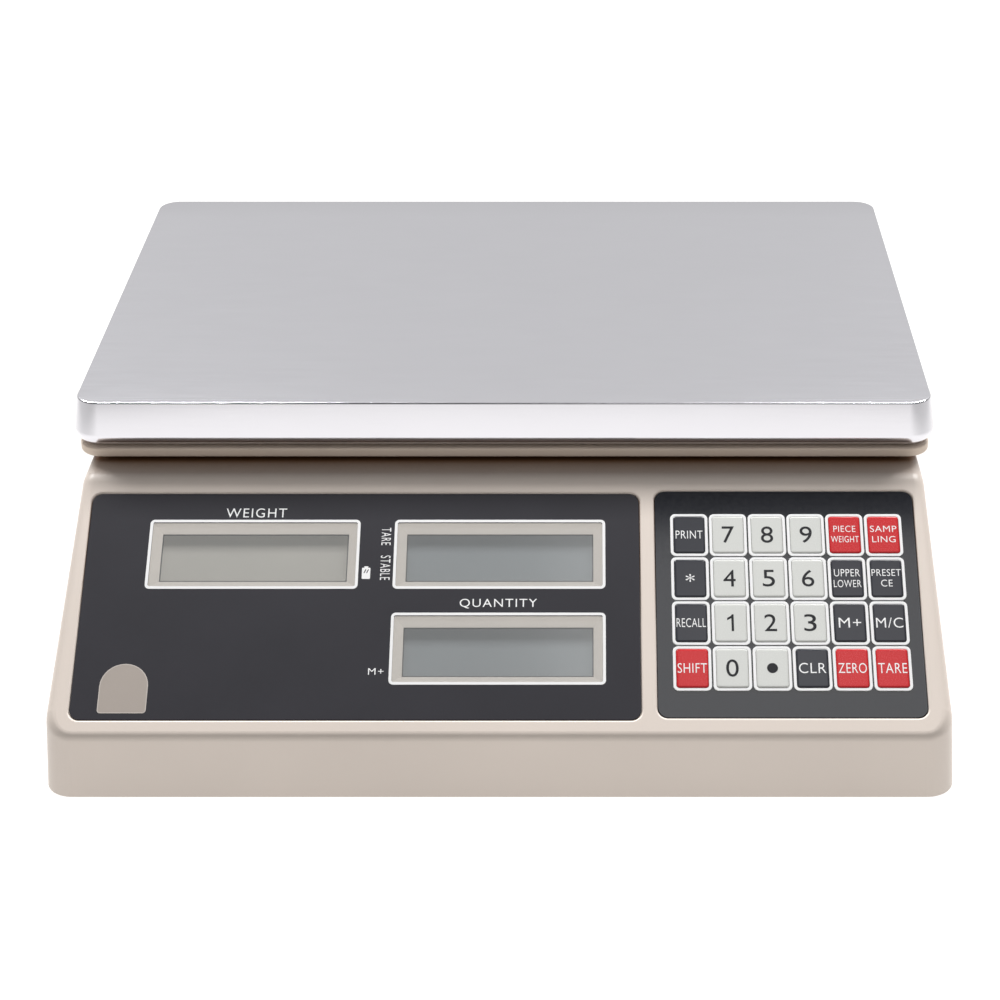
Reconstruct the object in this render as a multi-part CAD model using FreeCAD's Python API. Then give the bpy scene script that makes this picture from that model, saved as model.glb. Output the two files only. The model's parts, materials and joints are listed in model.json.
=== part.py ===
import FreeCAD, Part
import math
import os

from FreeCAD import Placement, Rotation, Vector

# A counting scale: a drafted two-shell housing with a sloped operating panel at the front and a raised
# deck behind it, a single-point load cell inside, and a stainless pan over a plastic tray above the deck.
# Millimetres. X is to the right, Y to the rear and Z up. The origin is on the standing surface, under the
# middle of the outline. The feet are screwed fully in and the pan is unloaded.

# Housing
HOUSING_WIDTH = 341.0
HOUSING_DEPTH = 332.5
FOOT_DROP = 4.0
FRONT_HEIGHT = 25.9
DECK_Z = 91.0
SLOPE_DEG = 33.65
SIDE_DRAFT_DEG = 3.9
END_DRAFT_DEG = 3.25
WALL = 2.5
PLAN_CORNER_R = 11.0
EDGE_R = 4.5
BROW_R = 8.0
LIP_R = 0.9
FIT_GAP = 0.25
REACH = 1.0  # how far a cutting block runs past the face that it opens

# Inside of the upper shell
BOARD_POST_R = 3.5
SCREW_POST_R = 4.5
DISPLAY_PAD = ((-153.0, 10.0), (51.5, 99.0))
KEYPAD_PAD = ((55.0, 4.0), (163.0, 105.0))
KEYPAD_PAD_THICK = 1.8
PAD_ROOT = -2.0
TAIL_SLOT = ((98.0, 98.8), (120.0, 100.4))
CIRCUIT_TAIL = ((99.0, 99.4), (119.0, 99.8))
CIRCUIT_TAIL_LOW = -16.0
HOLE_LIP_WIDTH = 2.0
HOLE_LIP_HEIGHT = 1.5

# Weighing pan: flared walls that turn in at the bottom
PAN_WIDTH = 340.5
PAN_DEPTH = 226.5
PAN_TOP = 116.0
PAN_LOW = 97.0
PAN_REAR_INSET = 1.25
PAN_FLARE_DEG = 8.0
PAN_SHEET = 1.0
PAN_CORNER_R = 11.0
PAN_EDGE_R = 3.0
PAN_HEM_R = 5.0
PAN_LIP = 4.0

# Tray under the pan: a flat rim with a raised middle that the pan covers
TRAY_INSET = 1.5
TRAY_LOW = 92.5
TRAY_RIM_TOP = 96.4
TRAY_RIM_WIDTH = 8.0
TRAY_TOP = 112.0
TRAY_WALL = 2.5
TRAY_EDGE_R = 4.0
TRAY_RIM_EDGE_R = 0.8
RIB_THICK = 2.0
RIB_HEIGHT = 8.0
RIB_Y = (-45.0, 0.0, 45.0)
RIB_X = (-60.0, 0.0, 60.0)
TRAY_BOSS_R = 9.0
TRAY_SEAT = 2.0
CUSHION_R = 10.0
CUSHION_SINK = 0.5
CUSHION_PLACE = (140.0, 86.0)
CUSHION_EDGE = 0.8

# Operating panel, as (across, up the slope) from the middle of the fold; depths are along the outward normal
DISPLAY_LOW = (-159.5, 6.9)
DISPLAY_HIGH = (52.8, 102.1)
KEYPAD_LOW = (59.1, 7.8)
KEYPAD_HIGH = (159.2, 103.1)
OVERLAY_CORNER_R = 4.0
OVERLAY_TOP = -0.3
DISPLAY_RECESS = -1.0
KEYPAD_RECESS = -2.5
WINDOW_SIZE = (79.1, 27.6)
LCD_VIEW = (72.2, 20.6)
WINDOW_CENTRES = {
    "lcd_weight": (-95.5, 75.9),
    "lcd_unit_weight": (-0.9, 75.9),
    "lcd_quantity": (-0.9, 36.0),
}
BEZEL_DEPTH = -3.8
LCD_GLASS = (77.6, 26.0, 2.8)
LCD_BACKLIGHT = (74.0, 22.0)
LCD_GAP = 0.1

# Keys, 0.4 mm travel
KEY_PITCH = (15.0, 18.8)
KEY_GRID_CENTRE = (109.6, 55.8)
KEY_RIM = (14.4, 18.2)
KEY_RIM_WIDTH = 1.1
KEY_RIM_TOP = 0.1
KEY_TOP = 0.35
KEY_SIDE_GAP = 0.12
KEY_CORNER_R = 1.08
KEY_EDGE_R = 0.45
KEY_LOW = -1.25
KEY_FLANGE = (12.9, 16.7, 0.4)
KEY_SPACER_HOLE = (13.2, 17.1)
CIRCUIT_THICK = 0.5
CIRCUIT_INSET = 1.0
DOME_R = (4.5, 3.0)
DOME_HEIGHT = 0.3
KEY_ROWS = [
    ["print", "7", "8", "9", "piece_weight", "sampling"],
    ["star", "4", "5", "6", "limits", "preset_clear"],
    ["recall", "1", "2", "3", "memory_add", "memory_clear"],
    ["shift", "0", "point", "clear", "zero", "tare"],
]

# Load cell and platform, centred under the pan
CELL_LENGTH = 130.0
CELL_WIDTH = 30.0
CELL_HEIGHT = 22.0
CELL_LOW = 22.0
CELL_BOLT_X = (42.0, 57.0)
BRACKET_LOW = 48.0
BRACKET_TOP = 52.0
POST_X = 100.0
POST_OFFSET_Y = 65.0
POST_R = 8.0
POST_TOP = 104.0
DECK_HOLE_R = 13.0
BEAM_WIDTH = 22.0
STOP_X = 100.0
STOP_OFFSET_Y = 40.0
STOP_GAP = 0.6
STOP_BOSS = (7.0, 28.0)
HEX_ACROSS = 10.0
HEX_HEAD_HEIGHT = 4.0
HEX_NUT_HEIGHT = 5.0
CELL_BORE_R = 7.5
CELL_BORE_X = 12.0
CELL_SLOT_HEIGHT = 5.0
CELL_SEAT_Z = 13.0
CELL_THREAD = 16.0
CELL_PAD = (38.0, 30.0)
CELL_PAD_X = 46.0

# Fasteners
SCREW_R = 1.75
SCREW_LENGTH = 8.0
SCREW_HEAD_R = 3.4
SCREW_HEAD_HEIGHT = 2.2
SCREW_HEAD_EDGE_R = 1.2
SCREW_CROSS = (3.6, 0.8, 1.2)
SCREW_CLEAR = 0.2
BOLT_R = 3.0
BOLT_HOLE_R = 3.2
BOLT_HEAD_R = 5.0
BOLT_HEAD_HOLE_R = 5.5
BOLT_HEAD_HEIGHT = 6.0
BOLT_KEY = 5.0
BOLT_KEY_DEPTH = 3.5
CELL_BOLT_LENGTH = 21.0
PLATFORM_BOLT_LENGTH = 16.0
THREAD_GAP = 0.03
PILOT_R = SCREW_R + THREAD_GAP
SCREW_PLACES = [
    (-110, -148), (110, -148), (-156, -75), (156, -75),
    (-156, 95), (156, 95), (110, 150), (12, 152),
]

# Base
FLOOR_LOW = 5.0
FLOOR_TOP = 8.0
RIM_TOP = 18.0
RIM_HALF_X = 166.3
RIM_HALF_Y = 162.6
RIM_WALL = 2.0
SEAM_Z = 12.0
FOOT_X = 145.0
FOOT_Y = 141.0
BASE_RIM_R = 8.0
SCREW_POST_BASE_R = 6.0
SCREW_WELL_R = 4.0
SCREW_WELL_DEPTH = 4.0
SCREW_CLEAR_R = 2.0
FOOT_POCKET_R = 18.0
FOOT_WALL = 2.0
FOOT_BOSS_R = 8.0
FOOT_POCKET_TOP = 13.3
STUD_R = 3.94
STUD_HOLE_R = 4.0
STUD_TOP = 29.5
STUD_BOSS_TOP = 26.0
PAD_R = 13.0
PAD_TOP = 5.5
WHEEL_R = 16.0
WHEEL_LOW = 6.0
WHEEL_TOP = 12.8
WHEEL_HUB_R = 5.0
WHEEL_HUB_LOW = 2.5
WHEEL_EDGE = 0.6
HUB_GAP = 0.06
STUD_POINT = 0.8
PAD_EDGE_R = 1.2
GROOVES = 24
GROOVE_R = 1.1
GROOVE_RING_R = 16.5

# Connectors in the rear panel
PANEL_X = (-132.0, -16.0)
PANEL_TOP = 46.5
PANEL_FACE_Y = 163.4
CONNECTOR_Z = 28.0
INLET_X = -112.0
SWITCH_X = -78.0
SERIAL_X = -38.0
ROCKER_PIVOT_Y = 161.4
ROCKER_TILT = 7.0
JACK_SPACING = 24.99
JACK_HOLE_R = 1.25
JACK_CLEAR_R = 1.7
JACK_X = (-JACK_SPACING / 2, JACK_SPACING / 2)
CLEARANCE = 0.2
INLET_FLANGE = (31.0, 24.0, 2.5)
INLET_BODY = (27.4, 20.0)
INLET_DEPTH = 18.0
INLET_SOCKET = (12.2, 8.2, 4.5, 13.5)
SWITCH_FRAME = (15.0, 21.0, 2.0)
SWITCH_BODY = (13.4, 19.6)
SWITCH_DEPTH = 14.0
SWITCH_MOUTH = (12.0, 18.8, 8.0)
ROCKER_WIDTH = 11.5
ROCKER_PIN = (0.9, 12.9)
SERIAL_FLANGE = (30.8, 12.5, 0.8)
SERIAL_SHELL = (17.0, 8.4)
SERIAL_REAR = (18.5, 9.6)
SERIAL_OPENING = (19.0, 10.0)
SERIAL_DEPTH = 9.0
SERIAL_OUT = 2.8
D_LEAN_DEG = 10.0
D_CORNER_R = 1.8
JACK_POST = (4.8, 2.8)
JACK_STEM = (1.5, 3.0)
CONTACT_PITCH = (2.77, 1.42)
CONTACT_R = 0.6
INLET_PIN = (2.0, 4.0)
INLET_PIN_INSET = 3.0
INLET_PIN_PLACES = ((-7.0, -2.0), (7.0, -2.0), (0.0, 2.0))
INLET_TAB = (6.3, 0.8, 7.0)
SWITCH_TAB = (4.8, 0.8, 8.0)
SWITCH_TAB_Y = 5.0
ROCKER_PROFILE = ((-8.9, 3.6), (0.0, 2.0), (8.9, 3.6), (8.2, 0.0), (4.0, -4.5), (-4.0, -4.5), (-8.2, 0.0))

# Parts held inside
BATTERY_SIZE = (47.0, 100.0, 70.0)
BATTERY_X = 138.0
BATTERY_LOW = 7.6
BOARD_THICK = 1.6
MAIN_BOARD_LOW = (-144.0, -112.0, 17.0)
MAIN_BOARD_SIZE = (120.0, 76.0)
DISPLAY_BOARD_TOP = -9.9
DISPLAY_BOARD = ((-150.0, 20.0), (50.0, 94.0))
DISPLAY_CHIPS = ((-95.0, 50.0), (-20.0, 56.0), (20.0, 56.0))
DISPLAY_SOCKET = (-95.0, 36.0)
CHIP = (14.0, 10.0, 1.6)
SOCKET = (26.0, 8.0, 7.0)
BOARD_SCREW_INSET = 5.0
PROCESSOR = (22.0, 22.0, 2.4)
PROCESSOR_PLACE = (-100.0, -80.0)
AMPLIFIER = (14.0, 9.0, 2.0)
AMPLIFIER_PLACE = (-60.0, -60.0)
REGULATOR = (16.0, 5.0, 16.0)
REGULATOR_PLACE = (-84.0, -100.0)
CAPACITOR = (6.5, 18.0)
CAPACITOR_PLACES = ((-64.0, -96.0), (-48.0, -96.0))
CELL_PLUG = (12.0, 8.0, 7.0)
CELL_PLUG_PLACE = (-85.0, -41.0)
BATTERY_PLUG = (8.0, 12.0, 7.0)
BATTERY_PLUG_PLACE = (-29.0, -62.0)
DISPLAY_PLUG_PLACE = (-95.0, -62.0)
BATTERY_LID = 2.0
BATTERY_TAB = (4.8, 0.8, 5.0)
BATTERY_TAB_PLACE = (14.0, -42.0)
CORE = (30.0, 46.0, 36.0)
WINDING = (42.0, 28.0, 24.0)
STRAP_SIZE = (14.0, 68.0)
STRAP_THICK = 1.5
STRAP_SCREW_Y = 29.0
LEAD_R = 1.6
DISPLAY_LEAD_R = 2.0
DISPLAY_POSTS = [(u, v) for u in (-144.0, -48.2, 44.0) for v in (27.0, 88.0)]
TRANSFORMER_PLACE = (-138.0, 45.0)
LEVEL_R = 9.0
LEVEL_PLACE = (-140.0, -32.0)
LEVEL_DEPTH = 8.0
LEVEL_FLANGE = (2.0, 0.8)
LEVEL_DOME = (2.0, 0.6)
CELL_SEAT = (36.0, 40.0)
CELL_SEAT_X = -50.0
BOARD_BOSS_R = 3.5
TRANSFORMER_SEAT = (4.5, 14.0)
CRADLE_GAP = 0.7
CRADLE_WALL = 1.6
CRADLE_TOP = 40.0
DOOR_THICK = 2.1
DOOR_LIP = (5.0, 20.0)
DOOR_GRIP = (24.0, 1.6, 0.8)
DOOR_GRIP_PITCH = 4.0
DOOR_BOSS = (5.0, 14.0)
DOOR_SCREW_OUT = 6.0

SIDE_DRAFT = math.tan(math.radians(SIDE_DRAFT_DEG))
END_DRAFT = math.tan(math.radians(END_DRAFT_DEG))
FRONT_Y = -HOUSING_DEPTH / 2
FOLD = Vector(0, FRONT_Y + FRONT_HEIGHT * END_DRAFT, FOOT_DROP + FRONT_HEIGHT)
PANEL = Placement(FOLD, Rotation(Vector(1, 0, 0), SLOPE_DEG))
PAN_Y = HOUSING_DEPTH / 2 - PAN_REAR_INSET - PAN_DEPTH / 2
POST_PLACES = [(x, PAN_Y + y) for x in (-POST_X, POST_X) for y in (-POST_OFFSET_Y, POST_OFFSET_Y)]
FOOT_PLACES = {
    "front_left": (-FOOT_X, -FOOT_Y),
    "front_right": (FOOT_X, -FOOT_Y),
    "rear_left": (-FOOT_X, FOOT_Y),
    "rear_right": (FOOT_X, FOOT_Y),
}


# ---------------------------------------------------------------- helpers

def save(node, *shapes):
    shape = shapes[0] if len(shapes) == 1 else Part.makeCompound(list(shapes))
    shape.exportStep(f"parts/{node}.step")


def on_panel(shape):
    """Take a shape from the panel's own frame (across, up the slope, outward) to its place."""
    placed = shape.copy()
    placed.Placement = PANEL.multiply(placed.Placement)
    return placed


def on_rear(shape, x, y=PANEL_FACE_Y):
    """Take a shape whose +Z points out of the rear panel to its place at x."""
    placed = shape.copy()
    turned = Placement(Vector(x, y, CONNECTOR_Z), Rotation(Vector(1, 0, 0), -90))
    placed.Placement = turned.multiply(placed.Placement)
    return placed


def prism(points, low, high, corner_r=0.0):
    """Upright prism on a plan outline, with its upright edges rounded."""
    outline = [Vector(x, y, low) for x, y in points]
    solid = Part.Face(Part.makePolygon(outline + outline[:1])).extrude(Vector(0, 0, high - low))
    if not corner_r:
        return solid
    upright = [e for e in solid.Edges if abs(e.tangentAt(e.FirstParameter).z) > 0.9]
    return solid.makeFillet(corner_r, upright)


def block(size, low, high, corner_r=0.0, centre=(0.0, 0.0)):
    """Upright block of a plan size, centred on a plan point."""
    half_x, half_y = size[0] / 2, size[1] / 2
    return prism(corners_of(half_x, half_y, centre), low, high, corner_r)


def corners_of(half_x, half_y, centre):
    """Plan corners of a rectangle, anticlockwise from the lower left."""
    x, y = centre
    ways = ((-1, -1), (1, -1), (1, 1), (-1, 1))
    return [(x + way_x * half_x, y + way_y * half_y) for way_x, way_y in ways]


def box_between(low_corner, high_corner, low, high, corner_r=0.0, grow=0.0):
    """Upright block between two plan corners, grown on every side."""
    size = [high_corner[i] - low_corner[i] + 2 * grow for i in range(2)]
    centre = [(high_corner[i] + low_corner[i]) / 2 for i in range(2)]
    return block(size, low, high, corner_r, centre)


def cylinder(radius, low, high, place=(0.0, 0.0)):
    return Part.makeCylinder(radius, high - low, Vector(place[0], place[1], low))


def crosswise(radius, length, centre):
    """Cylinder along Y, centred on a point."""
    start = centre - Vector(0, length / 2, 0)
    return Part.makeCylinder(radius, length, start, Vector(0, 1, 0))


def flat_edges_at(solid, z):
    """Edges that lie wholly at one height."""
    return [e for e in solid.Edges if abs(e.BoundBox.ZMin - z) < 0.01 and abs(e.BoundBox.ZMax - z) < 0.01]


def edges_round(faces):
    """Outline of a patch of faces: the edges that only one of them has."""
    edges = [e for face in faces for e in face.Edges]
    return [e for e in edges if sum(e.isSame(other) for other in edges) == 1]


def tapered_opening(size_top, size_low, top, low, centre):
    """Block whose walls close in from the size at the top to the size at the bottom."""
    sections = []
    for size, height in ((size_low, low), (size_top, top)):
        points = [Vector(x, y, height) for x, y in corners_of(size[0] / 2, size[1] / 2, centre)]
        sections.append(Part.makePolygon(points + points[:1]))
    return Part.makeLoft(sections, True, True)


def screw(seat, direction, place):
    """Pan-head self-tapping screw, placed by its head's seat, with its shank along a direction."""
    shank = Part.makeCylinder(SCREW_R, SCREW_LENGTH)
    head = Part.makeCylinder(SCREW_HEAD_R, SCREW_HEAD_HEIGHT, Vector(0, 0, -SCREW_HEAD_HEIGHT))
    head = head.makeFillet(SCREW_HEAD_EDGE_R, flat_edges_at(head, -SCREW_HEAD_HEIGHT))
    long, wide, deep = SCREW_CROSS
    slots = ((long, wide), (wide, long))
    cross = [block(size, -SCREW_HEAD_HEIGHT, deep - SCREW_HEAD_HEIGHT) for size in slots]
    return pointed(head.fuse(shank).cut(cross), seat, direction, place)


def pointed(piece, seat, direction, place):
    """Turn a piece that points up to a direction, and put its origin at a height over a plan point."""
    turn = Rotation(Vector(0, 0, 1), Vector(*direction))
    piece.Placement = Placement(Vector(place[0], place[1], seat), turn)
    return piece


def socket_bolt(seat, direction, place, length):
    """Socket-head bolt, placed by its head's seat."""
    head = Part.makeCylinder(BOLT_HEAD_R, BOLT_HEAD_HEIGHT, Vector(0, 0, -BOLT_HEAD_HEIGHT))
    key = hexagon(BOLT_KEY, -BOLT_HEAD_HEIGHT, BOLT_KEY_DEPTH - BOLT_HEAD_HEIGHT)
    return pointed(head.fuse(Part.makeCylinder(BOLT_R, length)).cut(key), seat, direction, place)


def hexagon(across_flats, low, high, place=(0.0, 0.0)):
    radius = across_flats / math.sqrt(3)
    turns = [math.radians(60 * i) for i in range(6)]
    points = [(place[0] + radius * math.cos(a), place[1] + radius * math.sin(a)) for a in turns]
    return prism(points, low, high)


def lead(points, radius):
    """Round wire along straight runs joined by tangent arcs."""
    path = [Vector(*p) for p in points]
    edges = []
    start = path[0]
    for before, corner, after in zip(path, path[1:], path[2:]):
        run_in = (before - corner).normalize()
        run_out = (after - corner).normalize()
        reach = 0.45 * min((before - corner).Length, (after - corner).Length)
        half_turn = (math.pi - run_in.getAngle(run_out)) / 2
        arc_r = reach / math.tan(half_turn)
        bisector = (run_in + run_out).normalize()
        middle = corner + bisector * (arc_r / math.cos(half_turn) - arc_r)
        arc_start = corner + run_in * reach
        arc_end = corner + run_out * reach
        edges.append(Part.LineSegment(start, arc_start).toShape())
        edges.append(Part.Arc(arc_start, middle, arc_end).toShape())
        start = arc_end
    edges.append(Part.LineSegment(start, path[-1]).toShape())
    section = Part.Wire(Part.makeCircle(radius, path[0], path[1] - path[0]))
    return Part.Wire(edges).makePipeShell([section], True, False)


# ---------------------------------------------------------------- housing

def leaning_block(low_half, high_half, low, high, corner_r):
    """Block between two levels with its own half sizes at each, and its four upright edges rounded."""
    low_x, low_y = low_half
    high_x, high_y = high_half
    wedge = Part.makeWedge(-low_x, low, -low_y, -high_y, -high_x, low_x, high, low_y, high_y, high_x)
    wedge.rotate(Vector(0, 0, 0), Vector(1, 0, 0), 90)
    corners = [e for e in wedge.Edges if abs(e.tangentAt(e.FirstParameter).z) > 0.9]
    return wedge.makeFillet(corner_r, corners)


def housing_half(inset, z):
    """Half width and half depth of the drafted housing at a height."""
    rise = z - FOOT_DROP
    return HOUSING_WIDTH / 2 - inset - rise * SIDE_DRAFT, HOUSING_DEPTH / 2 - inset - rise * END_DRAFT


def envelope(inset, low):
    """Housing shape with rounded plan corners, cut to the sloped panel, all inset by one distance."""
    high = DECK_Z - inset
    halves = (housing_half(inset, low), housing_half(inset, high))
    solid = leaning_block(*halves, low, high, PLAN_CORNER_R - inset)
    above_panel = Part.makeBox(2 * HOUSING_WIDTH, 2 * HOUSING_DEPTH, HOUSING_DEPTH)
    above_panel.translate(Vector(-HOUSING_WIDTH, -HOUSING_DEPTH / 2, -inset))
    return solid.cut(on_panel(above_panel))


def rounded_envelope():
    """Outside of the housing with its brow and its upper edges rounded."""
    solid = envelope(0.0, FOOT_DROP)
    brow_y = FOLD.y + (DECK_Z - FOLD.z) / math.tan(math.radians(SLOPE_DEG))
    brow = [e for e in flat_edges_at(solid, DECK_Z) if abs(e.BoundBox.YMax - brow_y) < 0.01]
    solid = solid.makeFillet(BROW_R, brow)
    return solid.makeFillet(EDGE_R, edges_round([face for face in solid.Faces if faces_up(face)]))


def faces_up(face):
    """True where the middle of a face looks more up than sideways."""
    u_low, u_high, v_low, v_high = face.ParameterRange
    return face.normalAt((u_low + u_high) / 2, (v_low + v_high) / 2).z > 0.5


def in_recess_mouth(edge, low_corner, high_corner):
    """True for an edge on the panel's surface that borders one overlay's recess."""
    for vertex in edge.Vertexes:
        point = PANEL.inverse().multVec(vertex.Point)
        if abs(point.z) > 0.01:
            return False
        if not low_corner[0] - 1 < point.x < high_corner[0] + 1:
            return False
        if not low_corner[1] - 1 < point.y < high_corner[1] + 1:
            return False
    return True


def upper_housing():
    shell = rounded_envelope().cut(envelope(WALL, FOOT_DROP - 1))

    display_pad = box_between(*DISPLAY_PAD, BEZEL_DEPTH, PAD_ROOT)
    keypad_pad = box_between(*KEYPAD_PAD, KEYPAD_RECESS - KEYPAD_PAD_THICK, PAD_ROOT)
    board_posts = [cylinder(BOARD_POST_R, DISPLAY_BOARD_TOP, BEZEL_DEPTH + REACH, p) for p in DISPLAY_POSTS]
    screw_posts = [cylinder(SCREW_POST_R, SEAM_Z + 0.05, DECK_Z, place) for place in SCREW_PLACES]
    inside = envelope(WALL - 0.6, FOOT_DROP)
    additions = [on_panel(s) for s in [display_pad, keypad_pad, *board_posts]]
    additions += [post.common(inside) for post in screw_posts]
    lip_r = DECK_HOLE_R + HOLE_LIP_WIDTH
    additions += [cylinder(lip_r, DECK_Z - REACH, DECK_Z + HOLE_LIP_HEIGHT, place) for place in POST_PLACES]
    shell = shell.fuse(additions)

    recesses = [
        box_between(DISPLAY_LOW, DISPLAY_HIGH, DISPLAY_RECESS, REACH, OVERLAY_CORNER_R, FIT_GAP),
        box_between(KEYPAD_LOW, KEYPAD_HIGH, KEYPAD_RECESS, REACH, OVERLAY_CORNER_R, FIT_GAP),
    ]
    shell = shell.cut([on_panel(recess) for recess in recesses])
    lips = [e for e in shell.Edges if in_recess_mouth(e, DISPLAY_LOW, DISPLAY_HIGH)]
    lips += [e for e in shell.Edges if in_recess_mouth(e, KEYPAD_LOW, KEYPAD_HIGH)]
    shell = shell.makeFillet(LIP_R, lips)

    windows = []
    for centre in WINDOW_CENTRES.values():
        windows.append(tapered_opening(WINDOW_SIZE, LCD_VIEW, DISPLAY_RECESS, BEZEL_DEPTH, centre))
        windows.append(block(WINDOW_SIZE, DISPLAY_RECESS - 0.01, DISPLAY_RECESS + 0.5, 0.0, centre))
        windows.append(block(LCD_VIEW, BEZEL_DEPTH - 0.5, BEZEL_DEPTH + 0.01, 0.0, centre))
    tail_slot = box_between(*TAIL_SLOT, KEYPAD_RECESS - 2 * KEYPAD_PAD_THICK, PAD_ROOT)
    pilot_span = (DISPLAY_BOARD_TOP - REACH, BEZEL_DEPTH + 0.5)
    board_pilots = [cylinder(PILOT_R, *pilot_span, place) for place in DISPLAY_POSTS]
    cuts = [on_panel(s) for s in [*windows, tail_slot, *board_pilots]]
    cuts += [cylinder(PILOT_R, SEAM_Z - REACH, SEAM_Z + SCREW_LENGTH - 2, place) for place in SCREW_PLACES]
    through = (DECK_Z - 2 * WALL, DECK_Z + 2 * WALL)
    cuts += [cylinder(DECK_HOLE_R, *through, place) for place in POST_PLACES]
    cuts.append(cylinder(LEVEL_R + 0.1, *through, LEVEL_PLACE))
    panel_size = (PANEL_X[1] - PANEL_X[0] + 4 * FIT_GAP, 8 * WALL)
    panel_centre = (sum(PANEL_X) / 2, HOUSING_DEPTH / 2)
    cuts.append(block(panel_size, FOOT_DROP - REACH, PANEL_TOP + 2 * FIT_GAP, 0.0, panel_centre))
    save("upper_housing", shell.cut(cuts).removeSplitter())


def base_housing():
    rim = block((2 * RIM_HALF_X, 2 * RIM_HALF_Y), FLOOR_LOW, RIM_TOP, BASE_RIM_R)
    inner_size = (2 * (RIM_HALF_X - RIM_WALL), 2 * (RIM_HALF_Y - RIM_WALL))
    tray = rim.cut(block(inner_size, FLOOR_TOP, RIM_TOP + REACH, BASE_RIM_R - RIM_WALL))
    body = tray.fuse(base_bosses())
    save("base_housing", body.cut(base_holes() + rear_openings()).removeSplitter())


def cradle_size(grow=0.0):
    return (BATTERY_SIZE[0] + 2 * (CRADLE_GAP + grow), BATTERY_SIZE[1] + 2 * (CRADLE_GAP + grow))


def base_bosses():
    """Everything that stands on the base's floor, and the rear connector panel."""
    root = FLOOR_TOP - REACH
    bosses = [cylinder(SCREW_POST_BASE_R, root, SEAM_Z, place) for place in SCREW_PLACES]
    for place in FOOT_PLACES.values():
        bosses.append(cylinder(FOOT_POCKET_R + FOOT_WALL, FLOOR_LOW, FOOT_POCKET_TOP + FOOT_WALL, place))
        bosses.append(cylinder(FOOT_BOSS_R, FOOT_POCKET_TOP, STUD_BOSS_TOP, place))
    bosses += [cylinder(STOP_BOSS[0], root, STOP_BOSS[1], place) for place in stop_places()]
    bosses.append(block(CELL_SEAT, root, CELL_LOW, 0.0, (CELL_SEAT_X, PAN_Y)))
    bosses += [cylinder(BOARD_BOSS_R, root, MAIN_BOARD_LOW[2], place) for place in main_board_screws()]
    bosses += [cylinder(TRANSFORMER_SEAT[0], root, TRANSFORMER_SEAT[1], p) for p in transformer_screws()]
    bosses.append(block(cradle_size(CRADLE_WALL), root, CRADLE_TOP, CRADLE_WALL, (BATTERY_X, 0)))
    bosses += [cylinder(DOOR_BOSS[0], root, DOOR_BOSS[1], place) for place in door_screws()]
    panel_middle = (sum(PANEL_X) / 2, PANEL_FACE_Y - WALL / 2)
    bosses.append(block((PANEL_X[1] - PANEL_X[0], WALL), FLOOR_LOW, PANEL_TOP, 0.0, panel_middle))
    return bosses


def base_holes():
    """Battery bay, screw wells, foot pockets and the holes of every fastener in the base."""
    under = FLOOR_LOW - REACH
    holes = [block(cradle_size(), under, CRADLE_TOP + REACH, 0.0, (BATTERY_X, 0))]
    holes.append(block(door_size(2 * CLEARANCE), under, FLOOR_LOW + DOOR_THICK + 0.1, 2.0, (BATTERY_X, 0)))
    for place in SCREW_PLACES:
        holes.append(cylinder(SCREW_WELL_R, under, FLOOR_LOW + SCREW_WELL_DEPTH, place))
        holes.append(cylinder(SCREW_CLEAR_R, under, SEAM_Z + REACH, place))
    for place in FOOT_PLACES.values():
        holes.append(cylinder(FOOT_POCKET_R, under, FOOT_POCKET_TOP, place))
        holes.append(cylinder(STUD_HOLE_R, under, STUD_BOSS_TOP + REACH, place))
    holes += [cylinder(BOLT_R + THREAD_GAP, SEAM_Z, STOP_BOSS[1] + REACH, place) for place in stop_places()]
    for x in CELL_BOLT_X:
        holes.append(cylinder(BOLT_HEAD_HOLE_R, under, CELL_SEAT_Z, (-x, PAN_Y)))
        holes.append(cylinder(BOLT_HOLE_R, under, CELL_LOW + REACH, (-x, PAN_Y)))
    holes += [pilot(MAIN_BOARD_LOW[2], place) for place in main_board_screws()]
    holes += [pilot(TRANSFORMER_SEAT[1], place) for place in transformer_screws()]
    holes += [cylinder(PILOT_R, under, FLOOR_LOW + SCREW_LENGTH + 0.4, place) for place in door_screws()]
    return holes


def pilot(seat, place):
    """Hole for a screw driven down into a boss."""
    return cylinder(PILOT_R, seat - SCREW_LENGTH + REACH, seat + REACH, place)


def rear_openings():
    low, high = -2 * WALL, 2 * WALL
    openings = [on_rear(block(grown(INLET_BODY, CLEARANCE), low, high, 2.0), INLET_X)]
    openings.append(on_rear(block(grown(SWITCH_BODY, CLEARANCE / 2), low, high, 0.5), SWITCH_X))
    openings.append(on_rear(d_block(*SERIAL_OPENING, low, high), SERIAL_X))
    openings += [on_rear(cylinder(JACK_CLEAR_R, low, high, (x, 0)), SERIAL_X) for x in JACK_X]
    return openings


def grown(size, amount):
    return tuple(side + 2 * amount for side in size)


def door_size(grow=0.0):
    return (BATTERY_SIZE[0] + DOOR_LIP[0] + grow, BATTERY_SIZE[1] + DOOR_LIP[1] + grow)


def door_screws():
    reach = BATTERY_SIZE[1] / 2 + DOOR_SCREW_OUT
    return [(BATTERY_X, -reach), (BATTERY_X, reach)]


def battery_door():
    """Flat door with ribs for the thumb."""
    plate = block(door_size(), FLOOR_LOW, FLOOR_LOW + DOOR_THICK, 2.0, (BATTERY_X, 0))
    length, width, height = DOOR_GRIP
    places = [(BATTERY_X, DOOR_GRIP_PITCH * i) for i in range(-3, 4)]
    grip = [block((length, width), FLOOR_LOW - height, FLOOR_LOW, 0.0, place) for place in places]
    holes = [cylinder(SCREW_R + SCREW_CLEAR, FLOOR_LOW - REACH, FLOOR_TOP, place) for place in door_screws()]
    save("battery_door", plate.fuse(grip).cut(holes))


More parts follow.
